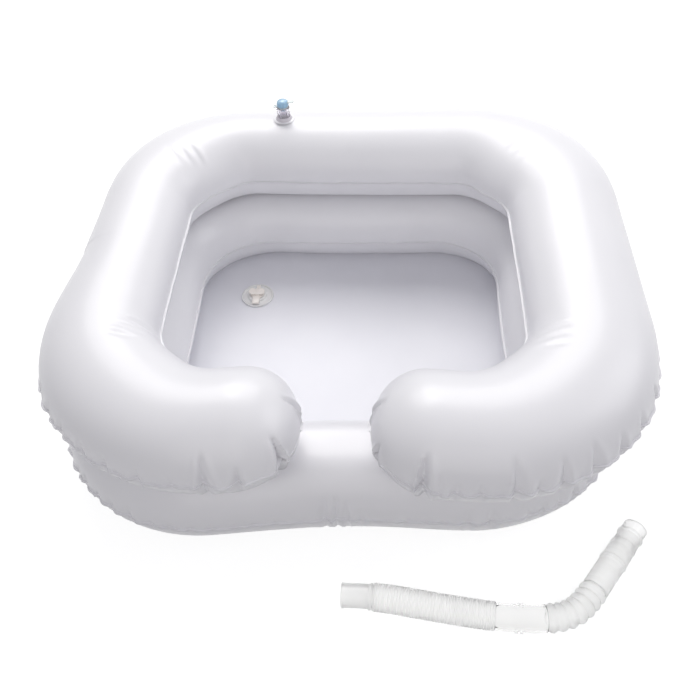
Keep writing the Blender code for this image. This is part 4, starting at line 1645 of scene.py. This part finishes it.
@dataclass
class FloorDrain:
    """The drain fitting: welded disc, neck, plug with two finger lobes and strap.

    Args:
        place: its seat on the floor, which heights count from.
        disc_r: radius of the disc.
        disc_t: thickness of the disc.
        collar_r: radius of the collar.
        collar_h: height of the collar over the disc.
        neck_r: radius of the neck under the floor.
        bore_r: radius of its bore.
        neck_drop: how far the neck reaches down.
        plug_r: radius of the plug in the bore.
        waist_r: radius of the plug's cap under the lobes.
        cap_h: height of the cap.
        lobe_r: radius of a finger lobe.
        lobe_x: distance of a lobe's middle from the plug's.
        lobe_t: thickness of a lobe.
        strap_t: thickness of the strap.
        ring_r: inner radius of the strap's ring.
        ring_width: width of the ring.
        hinge_y: place of the strap's hinge.
        lug_half: half the width of the lug.
    """

    place: Matrix
    disc_r: float = 0.02
    disc_t: float = 0.0016
    collar_r: float = 0.0115
    collar_h: float = 0.0022
    neck_r: float = 0.009
    bore_r: float = 0.0072
    neck_drop: float = 0.0078
    plug_r: float = 0.0067
    waist_r: float = 0.0050
    cap_h: float = 0.0024
    lobe_r: float = 0.0047
    lobe_x: float = 0.0053
    lobe_t: float = 0.0020
    strap_t: float = 0.0013
    ring_r: float = 0.007
    ring_width: float = 0.0016
    hinge_y: float = -0.0165
    lug_half: float = 0.0035

    def build(self) -> None:
        """Build and dress the disc, the plug and the strap."""
        pieces = [("drain_flange", [self._disc(), self._lug()], FLANGE_PVC, ROOT_BODY),
                  ("drain_plug", self._plug(), CREAM_PVC, "drain_closure"),
                  ("drain_strap", self._strap(), CREAM_PVC, "drain_closure")]
        for piece in pieces:
            moulding(*piece, self.place)

    @property
    def collar_top(self) -> float:
        """Height of the collar above the floor."""
        return FIT_GAP + self.disc_t + self.collar_h

    def _disc(self) -> Shape:
        """Shape the welded disc with a raised rim, its collar and its neck.

        Returns:
            Its shape.
        """
        low, top, wide = FIT_GAP, FIT_GAP + self.disc_t, self.disc_r
        return turned([(self.bore_r, -self.neck_drop), (self.neck_r, -self.neck_drop),
                       (self.neck_r, low), (wide, low), (wide - 0.0002, top + 0.0005),
                       (wide - 0.0017, top + 0.0005), (wide - 0.0024, top - 0.0007),
                       (self.collar_r + 0.0012, top - 0.0007), (self.collar_r, top + 0.0004),
                       (self.collar_r, self.collar_top), (self.bore_r, self.collar_top)],
                      0.0005, 96)

    def _lug(self) -> Shape:
        """Return the lug that carries the strap's hinge."""
        return bar((-self.lug_half, self.hinge_y, FIT_GAP + self.disc_t / 2),
                   (self.lug_half, self.hinge_y + 0.0017, self.collar_top), 0.0005)

    def _plug(self) -> list[Shape]:
        """Shape the plug: its stub and cap, two finger lobes that curl up and a small tail tab.

        Returns:
            The four shapes.
        """
        foot = self.collar_top - 0.004
        low = self.collar_top + FIT_GAP + self.strap_t + FIT_GAP
        top = low + self.cap_h
        parts = [turned([(0.0, foot), (self.plug_r - 0.0007, foot), (self.plug_r, self.collar_top),
                         (self.plug_r, low), (self.waist_r, low), (self.waist_r, top),
                         (0.0, top)], 0.0007, 72)]
        for side in (-1, 1):
            lobe, faces = turned(flat_ring(0.0, self.lobe_r, 0.0, self.lobe_t), 0.0008, 56)
            lobe = lobe * np.array([1.0, 1.1, 1.0])
            lobe += np.array([side * self.lobe_x - 0.0006, 0.0006, low + 0.0006])
            outward = np.clip(np.abs(lobe[:, 0]) - 0.003, 0.0, None)
            backward = np.clip(lobe[:, 1] - 0.001, 0.0, None)
            lobe[:, 2] += LOBE_CURL * outward ** 2 + LOBE_LIFT * backward ** 2
            parts.append((lobe, faces))
        parts.append(bar((-0.0014, 0.0052, low + 0.0006), (0.0034, 0.0118, low + 0.0024), 0.0008))
        return parts

    def _strap(self) -> list[Shape]:
        """Shape the ring round the plug and the tongue, which bends down to the hinge.

        Returns:
            The two shapes.
        """
        low = self.collar_top + FIT_GAP
        high = low + self.strap_t
        tongue, faces = bar((-0.0052, self.hinge_y - 0.0012, low), (0.0040, -0.0050, high + 0.0008),
                            0.0009)
        tongue[:, 2] -= TONGUE_BEND * np.clip(-0.0085 - tongue[:, 1], 0.0, None) ** 2
        ring = turned(flat_ring(self.ring_r, self.ring_r + self.ring_width, low, high),
                      0.0003, 72, 3)
        return [ring, (tongue, faces)]


# Drain hose


HOSE_ROUTE = [
    (0.0055, -0.3220), (0.0260, -0.3223), (0.0470, -0.3242), (0.0690, -0.3276), (0.0910, -0.3312),
    (0.1130, -0.3346), (0.1350, -0.3377), (0.1540, -0.3397), (0.1720, -0.3404), (0.1900, -0.3401),
    (0.2060, -0.3380), (0.2200, -0.3318), (0.2305, -0.3222), (0.2400, -0.3105), (0.2495, -0.2975),
    (0.2590, -0.2843), (0.2685, -0.2710), (0.2780, -0.2578), (0.2880, -0.2440),
]
ROUTE_STEPS = 16
HOSE_SIDES = 48
NO_BAND = -1.0
BAND_HALF = 0.0016
FLARE_LENGTH = 0.006
RIB_POWER = 0.75
GRID_SLACK = 0.00001


@dataclass(frozen=True)
class HoseRun:
    """One stretch of the hose with its own wall.

    Args:
        name: name of the stretch.
        start: where it starts along the hose.
        end: where it ends.
        radius: radius of its valleys or of its plain wall.
        wall: thickness of its wall.
        steps: faces along the stretch, one way.
        rib: height of its ribs, 0 for none.
        pitch: distance between ribs.
        plain: plain stretch at each end before the ribs.
        band: height of its raised bands.
        first_band: place of a raised band along the hose.
        second_band: place of another.
        flare: how much wider its first end is.
    """

    name: str
    start: float
    end: float
    radius: float
    wall: float
    steps: int
    rib: float = 0.0
    pitch: float = 1.0
    plain: float = 0.0
    band: float = 0.0
    first_band: float = NO_BAND
    second_band: float = NO_BAND
    flare: float = 0.0


class TubeNodes:
    """Geometry Nodes that sweep a ribbed or banded tube along a curve."""

    FLOATS = ("start", "end", "radius", "rib", "pitch", "plain", "wall", "first_band",
              "second_band", "band", "flare")
    KINDS = {**dict.fromkeys(FLOATS, "Float"), "steps": "Int", "sides": "Int",
             "material": "Material"}

    def __init__(self) -> None:
        """Build the node tree."""
        self.tree = bpy.data.node_groups.new("hose_tube", "GeometryNodeTree")
        face = self.tree.interface
        self.keys = {
            name: face.new_socket(name=name, in_out="INPUT",
                                  socket_type="NodeSocket" + kind).identifier
            for name, kind in {"Geometry": "Geometry", **self.KINDS}.items()}
        face.new_socket(name="Geometry", in_out="OUTPUT", socket_type="NodeSocketGeometry")
        self._fill()

    def _math(self, operation: str, *values: Socket | float) -> Socket:
        """Add a maths node and return its output."""
        return add_node(self.tree, "ShaderNodeMath", dict(enumerate(values)),
                        operation=operation).outputs[0]

    def _vector(self, operation: str, inputs: dict[str | int, object]) -> Socket:
        """Add a node for vectors and return its output."""
        return add_node(self.tree, "ShaderNodeVectorMath", inputs, operation=operation).outputs[0]

    def _bump(self, length: Socket, place: Socket) -> Socket:
        """Make the raised band round a place.

        Args:
            length: where along the hose a point is.
            place: the place.

        Returns:
            A smooth bump of height 1.
        """
        do = self._math
        away = do("ABSOLUTE", do("SUBTRACT", length, place))
        share = do("SUBTRACT", 1.0, do("DIVIDE", away, BAND_HALF))
        held = do("MINIMUM", do("MAXIMUM", share, 0.0), 0.5)
        return do("SINE", do("MULTIPLY", held, math.pi))

    def _radius(self, get: dict[str, Socket], length: Socket, inner: Socket) -> Socket:
        """Work out the radius of the wall with its ribs, bands and flare.

        Args:
            get: the inputs of the tree.
            length: where along the hose a point is.
            inner: 1 on the inner face of the wall.

        Returns:
            The radius at each point.
        """
        do = self._math
        rib_start = do("ADD", get["start"], get["plain"])
        rib_end = do("SUBTRACT", get["end"], get["plain"])
        phase = do("DIVIDE", do("SUBTRACT", length, rib_start), get["pitch"])
        wave = do("COSINE", do("MULTIPLY", phase, 2 * math.pi))
        crest = do("POWER", do("MULTIPLY_ADD", wave, -0.5, 0.5), RIB_POWER)
        within = do("MULTIPLY", do("GREATER_THAN", length, rib_start),
                    do("LESS_THAN", length, rib_end))
        ribs = do("MULTIPLY", do("MULTIPLY", crest, within), get["rib"])
        bands = do("MAXIMUM", self._bump(length, get["first_band"]),
                   self._bump(length, get["second_band"]))
        mouth = do("DIVIDE", do("SUBTRACT", length, get["start"]), FLARE_LENGTH)
        open_end = do("MAXIMUM", do("SUBTRACT", 1.0, mouth), 0.0)
        flare = do("MULTIPLY", do("MULTIPLY", open_end, open_end), get["flare"])
        outer = do("ADD", do("ADD", get["radius"], ribs),
                   do("ADD", do("MULTIPLY", bands, get["band"]), flare))
        return do("SUBTRACT", outer, do("MULTIPLY", inner, get["wall"]))

    def _laid(self, curve: Socket, length: Socket, radius: Socket, turn: Socket) -> Socket:
        """Lay the wall round the curve.

        Args:
            curve: the hose's middle line.
            length: where along the hose a point is.
            radius: its distance from the middle line.
            turn: its angle round the middle line.

        Returns:
            The place of each point.
        """
        sample = add_node(self.tree, "GeometryNodeSampleCurve",
                          {"Curves": curve, "Length": length}, mode="LENGTH")
        side = self._vector("CROSS_PRODUCT", {0: sample.outputs["Tangent"], 1: (0.0, 0.0, 1.0)})
        across = self._math("MULTIPLY", radius, self._math("COSINE", turn))
        up = self._math("MULTIPLY", radius, self._math("SINE", turn))
        lift = add_node(self.tree, "ShaderNodeCombineXYZ", {"Z": up})
        sideways = self._vector("SCALE", {0: self._vector("NORMALIZE", {0: side}),
                                          "Scale": across})
        return self._vector("ADD", {0: sample.outputs["Position"],
                                    1: self._vector("ADD", {0: sideways, 1: lift.outputs[0]})})

    def _fill(self) -> None:
        """Add the nodes: a grid that runs out along the wall and back inside it, on the curve."""
        tree, do = self.tree, self._math
        inputs = tree.nodes.new("NodeGroupInput").outputs
        get = {name: inputs[name] for name in self.KINDS}
        grid = add_node(tree, "GeometryNodeMeshGrid", {
            "Vertices X": do("ADD", do("MULTIPLY", get["steps"], 2.0), 1.0),
            "Vertices Y": do("ADD", get["sides"], 1.0)})
        position = tree.nodes.new("GeometryNodeInputPosition").outputs[0]
        split = add_node(tree, "ShaderNodeSeparateXYZ", {0: position}).outputs
        u = do("ADD", split["X"], 0.5)
        turn = do("MULTIPLY", do("ADD", split["Y"], 0.5), 2 * math.pi)
        fold = do("ABSOLUTE", do("SUBTRACT", do("MULTIPLY", u, 2.0), 1.0))
        length = do("MULTIPLY_ADD", do("SUBTRACT", 1.0, fold),
                    do("SUBTRACT", get["end"], get["start"]), get["start"])
        inner = do("MAXIMUM", do("GREATER_THAN", u, 0.5 + GRID_SLACK),
                   do("LESS_THAN", u, GRID_SLACK))
        radius = self._radius(get, length, inner)
        moved = add_node(tree, "GeometryNodeSetPosition", {
            "Geometry": grid.outputs["Mesh"],
            "Position": self._laid(inputs["Geometry"], length, radius, turn)})
        merged = add_node(tree, "GeometryNodeMergeByDistance",
                          {"Geometry": moved.outputs[0], "Distance": GRID_SLACK})
        real = add_node(tree, "GeometryNodeRealizeInstances", {0: merged.outputs[0]})
        painted = add_node(tree, "GeometryNodeSetMaterial",
                           {"Geometry": real.outputs[0], "Material": get["material"]})
        add_node(tree, "NodeGroupOutput", {0: painted.outputs[0]})

    def sweep(self, run: HoseRun, path: list[Vector], finish: Finish) -> bpy.types.Object:
        """Make one stretch of the hose.

        Args:
            run: the stretch.
            path: points of the whole hose's middle line.
            finish: what it is made of.

        Returns:
            The new object, as a plain mesh.
        """
        curve = bpy.data.curves.new(run.name, "CURVE")
        curve.dimensions = "3D"
        spline = curve.splines.new("POLY")
        spline.points.add(len(path) - 1)
        for point, spot in zip(spline.points, path):
            point.co = (*spot, 1.0)
        host = in_scene(run.name, curve)
        modifier = host.modifiers.new("tube", "NODES")
        modifier.node_group = self.tree
        for name in (*self.FLOATS, "steps"):
            modifier[self.keys[name]] = getattr(run, name)
        modifier[self.keys["sides"]] = HOSE_SIDES
        modifier[self.keys["material"]] = finish.material()
        obj = applied(host)
        if not obj.data.materials:
            obj.data.materials.append(finish.material())
        obj.data.shade_smooth()
        return face_out(obj)


@dataclass
class DrainHose:
    """The drain hose that lies beside the basin: two bellows, a clear coupling and two cuffs.

    Args:
        diameter: greatest diameter of the bellows.
        cuff_end: end of the inlet cuff along the hose.
        short_end: end of the short bellows.
        coupling_end: end of the coupling.
        bend_end: end of the coarse ribs of the long bellows, after its bend.
        collar_end: place of the small collar on the long bellows.
        long_end: end of the long bellows.
        bellows_wall: thickness of the bellows.
        sleeve_wall: thickness of the clear sleeves inside the joints.
        sleeve_steps: faces along a sleeve, one way.
        inset: how far the sleeves stay inside the hose's ends.
    """

    diameter: float = 0.027
    cuff_end: float = 0.0295
    short_end: float = 0.1425
    coupling_end: float = 0.189
    bend_end: float = 0.247
    collar_end: float = 0.284
    long_end: float = 0.305
    bellows_wall: float = 0.0009
    sleeve_wall: float = 0.0005
    sleeve_steps: int = 12
    inset: float = 0.0005

    def build(self) -> None:
        """Build the bellows as one cord, with the cuffs and the coupling as pieces on it."""
        path = self._path()
        total = sum((b - a).length for a, b in zip(path, path[1:]))
        tube, wall = TubeNodes(), self.bellows_wall
        sleeve = (self.sleeve_wall, self.sleeve_steps)
        runs = [
            HoseRun("sleeve_in", self.inset, self.cuff_end, 0.0096, *sleeve),
            HoseRun("bellows_short", self.cuff_end, self.short_end, 0.0128, wall, 420,
                    rib=0.0007, pitch=0.00266, plain=0.0012),
            HoseRun("sleeve_mid", self.short_end, self.coupling_end, 0.0104, *sleeve),
            HoseRun("bellows_bend", self.coupling_end, self.bend_end, 0.0114, wall, 160,
                    rib=0.0021, pitch=0.0082, plain=0.0004),
            HoseRun("bellows_straight", self.bend_end, self.collar_end, 0.0124, wall, 120,
                    rib=0.0003, pitch=0.0060, plain=0.0004, band=0.0009,
                    first_band=self.collar_end - 0.0014),
            HoseRun("bellows_mouth", self.collar_end, self.long_end, 0.0124, wall, 60,
                    rib=0.0004, pitch=0.0070, plain=0.0004),
            HoseRun("sleeve_out", self.long_end, total - self.inset, 0.0100, *sleeve),
        ]
        hose = self._join([(tube.sweep(run, path, MILKY_PLASTIC), run.name.startswith("sleeve"))
                           for run in runs], "drain_hose_bellows")
        pieces = [
            (HoseRun("hose_inlet_cuff_moulding", 0.0, self.cuff_end - FIT_GAP, 0.0113, 0.0012, 60,
                     band=0.0011, first_band=0.0272, flare=0.0005),
             MILKY_PLASTIC, "hose_inlet_cuff"),
            (HoseRun("hose_coupling_moulding", self.short_end + FIT_GAP,
                     self.coupling_end - FIT_GAP, 0.0125, 0.0014, 110, band=0.0010,
                     first_band=0.1615, second_band=0.1660), CLEAR_HOSE, "hose_coupling"),
            (HoseRun("hose_outlet_cuff_moulding", self.long_end + FIT_GAP, total, 0.0118, 0.0014,
                     60, band=0.0012, first_band=0.3172), MILKY_PLASTIC, "hose_outlet_cuff"),
        ]
        extras = [dressed(tube.sweep(run, path, finish), finish, ROOT_BODY, node)
                  for run, finish, node in pieces]
        dressed(hose, MILKY_PLASTIC, ROOT_BODY, "hose_short_bellows", "hose_long_bellows")

    def _path(self) -> list[Vector]:
        """Draw the smooth line through the hose's own points.

        Returns:
            Points of the line.
        """
        flat = [Vector(point) for point in HOSE_ROUTE]
        ends = [2 * flat[0] - flat[1]] + flat + [2 * flat[-1] - flat[-2]]
        points = []
        for before, start, end, after in zip(ends, ends[1:], ends[2:], ends[3:]):
            for step in range(ROUTE_STEPS):
                share = step / ROUTE_STEPS
                points.append(0.5 * (2 * start + (end - before) * share
                                     + (2 * before - 5 * start + 4 * end - after) * share ** 2
                                     + (3 * start - before - 3 * end + after) * share ** 3))
        return [Vector((point.x, point.y, self.diameter / 2)) for point in points + [flat[-1]]]

    @staticmethod
    def _join(parts: list[tuple[bpy.types.Object, bool]], name: str) -> bpy.types.Object:
        """Join several objects to one mesh object.

        Args:
            parts: objects, each with whether it is a clear sleeve.
            name: name of the new object.

        Returns:
            The new object.
        """
        bm = bmesh.new()
        done = 0
        for part, clear in parts:
            bm.from_mesh(part.data)
            bm.faces.ensure_lookup_table()
            for face in bm.faces[done:]:
                face.material_index = int(clear)
            done = len(bm.faces)
            bpy.data.objects.remove(part)
        mesh = bpy.data.meshes.new(name)
        bm.to_mesh(mesh)
        bm.free()
        mesh.shade_smooth()
        for finish in (MILKY_PLASTIC, CLEAR_SLEEVE):
            mesh.materials.append(finish.material())
        return in_scene(name, mesh)


# Studio


@dataclass(frozen=True)
class Lamp:
    """One square lamp.

    Args:
        name: its name.
        position: where it hangs.
        aim_z: height over the origin that it points at.
        size: length of its side.
        power: its power in watts.
        colour: colour of its light.
    """

    name: str
    position: Triple
    aim_z: float
    size: float
    power: float
    colour: Triple

    def hang(self) -> None:
        """Make the lamp."""
        data = bpy.data.lights.new(self.name, "AREA")
        data.shape, data.size, data.energy, data.color = ("SQUARE", self.size, self.power,
                                                          self.colour)
        lamp = in_scene(self.name, data)
        lamp.location = self.position
        way = Vector((0.0, 0.0, self.aim_z)) - Vector(self.position)
        lamp.rotation_euler = way.to_track_quat("-Z", "Y").to_euler()


LAMPS = (
    Lamp("key", (0.15, 1.35, 1.7), 0.05, 1.3, 18.0, (1.0, 0.99, 0.98)),
    Lamp("rear_left", (-0.6, 1.3, 1.8), 0.05, 1.1, 12.0, (1.0, 0.99, 0.98)),
    Lamp("right", (1.9, 0.3, 1.3), 0.05, 1.2, 9.0, (0.98, 0.98, 1.0)),
    Lamp("front", (0.0, -1.6, 1.1), 0.08, 1.4, 6.3, (1.0, 0.97, 0.95)),
)


@dataclass
class Studio:
    """Camera, pale floor and soft light.

    Args:
        position: place of the camera.
        right: the camera's own X in the scene.
        up: its Y.
        back: its Z, away from the basin.
        focal_pixels: focal length in pixels of the photograph.
        middle: pixel that the camera's axis meets.
        sensor: width of the camera's sensor in millimetres.
        world_colour: colour of the light from all round.
        world_light: strength of that light.
        floor_half: half the width of the floor.
        floor_z: height of the floor, just under the basin.
        floor_dull: shade of the floor as it lights the basin.
        floor_pale: shade of the floor as it is seen, for a faint shadow.
        floor_glow: how much the seen floor glows.
    """

    position: Triple = (0.06617, -0.71726, 0.78066)
    right: Triple = (0.99777, 0.04906, -0.04516)
    up: Triple = (-0.00543, 0.73484, 0.67821)
    back: Triple = (0.06646, -0.67646, 0.73348)
    focal_pixels: float = 891.83
    middle: tuple[float, float] = (348.4, 349.9)
    sensor: float = 36.0
    world_colour: Triple = (0.94, 0.94, 1.0)
    world_light: float = 0.39
    floor_half: float = 5.0
    floor_z: float = -0.0004
    floor_dull: Triple = (0.42, 0.42, 0.43)
    floor_pale: Triple = (0.30, 0.30, 0.30)
    floor_glow: float = 0.86

    def build_camera(self) -> None:
        """Make the camera and let the scene use it."""
        data = bpy.data.cameras.new("camera")
        data.sensor_fit = "HORIZONTAL"
        data.sensor_width = self.sensor
        data.lens = self.focal_pixels / PHOTO_PIXELS * data.sensor_width
        data.shift_x = (PHOTO_PIXELS / 2 - self.middle[0]) / PHOTO_PIXELS
        data.shift_y = (self.middle[1] - PHOTO_PIXELS / 2) / PHOTO_PIXELS
        camera = in_scene("camera", data)
        camera.matrix_world = place_of(self.position, self.right, self.up, self.back)
        bpy.context.scene.camera = camera

    def build_light(self) -> None:
        """Make the floor, the lamps and the world."""
        bpy.context.scene.view_settings.view_transform = "Standard"
        self._floor()
        for lamp in LAMPS:
            lamp.hang()
        world = bpy.data.worlds.new("studio")
        world.use_nodes = True
        bpy.context.scene.world = world
        tree = world.node_tree
        around = tree.nodes["Background"]
        feed(tree, around, {"Color": (*self.world_colour, 1.0), "Strength": self.world_light})
        white = add_node(tree, "ShaderNodeBackground",
                         {"Color": (1.0, 1.0, 1.0, 1.0), "Strength": 1.0})
        feed(tree, tree.nodes["World Output"], {"Surface": self._by_ray(tree, around, white)})

    @staticmethod
    def _by_ray(tree: bpy.types.NodeTree, hidden: bpy.types.Node, seen: bpy.types.Node) -> Socket:
        """Choose between two shaders by what a ray is for.

        Args:
            tree: tree of the shaders.
            hidden: shader for rays that only light the basin.
            seen: shader for rays of the camera, of reflections and through clear pieces.

        Returns:
            The shader of both.
        """
        path = tree.nodes.new("ShaderNodeLightPath").outputs
        total = path["Is Camera Ray"]
        for name in ("Is Glossy Ray", "Is Transmission Ray"):
            total = add_node(tree, "ShaderNodeMath", {0: total, 1: path[name]},
                             operation="MAXIMUM").outputs[0]
        return add_node(tree, "ShaderNodeMixShader",
                        {0: total, 1: hidden.outputs[0], 2: seen.outputs[0]}).outputs[0]

    def _floor(self) -> None:
        """Make the pale floor, which keeps a faint shadow."""
        mesh = bpy.data.meshes.new("studio_floor")
        corners = ((-1, -1), (1, -1), (1, 1), (-1, 1))
        mesh.from_pydata([(x * self.floor_half, y * self.floor_half, self.floor_z)
                          for x, y in corners], [], [(0, 1, 2, 3)])
        material = bpy.data.materials.new("studio_floor")
        material.use_nodes = True
        tree = material.node_tree
        tree.nodes.remove(tree.nodes["Principled BSDF"])
        dull, pale = (add_node(tree, "ShaderNodeBsdfDiffuse", {"Color": (*shade, 1.0)})
                      for shade in (self.floor_dull, self.floor_pale))
        glow = add_node(tree, "ShaderNodeEmission", {"Strength": self.floor_glow})
        both = add_node(tree, "ShaderNodeAddShader", {0: pale.outputs[0], 1: glow.outputs[0]})
        feed(tree, tree.nodes["Material Output"], {"Surface": self._by_ray(tree, dull, both)})
        mesh.materials.append(material)
        in_scene("studio_floor", mesh)


def main() -> None:
    """Build the camera, the hose, the chambers, the floor, the valves, the drain and the light."""
    logging.basicConfig(level=logging.INFO, format="%(name)s: %(message)s")
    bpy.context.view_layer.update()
    studio = Studio()
    studio.build_camera()
    DrainHose().build()
    chambers = ChamberPair()
    chambers.build()
    BowlFloor(chambers.lower_stations(FLOOR_SPACING)).build()
    AirValve("upper", UPPER_VALVE_PLACE).build()
    AirValve("lower", LOWER_VALVE_PLACE).build()
    FloorDrain(DRAIN_PLACE).build()
    studio.build_light()


if __name__ == "__main__":
    main()
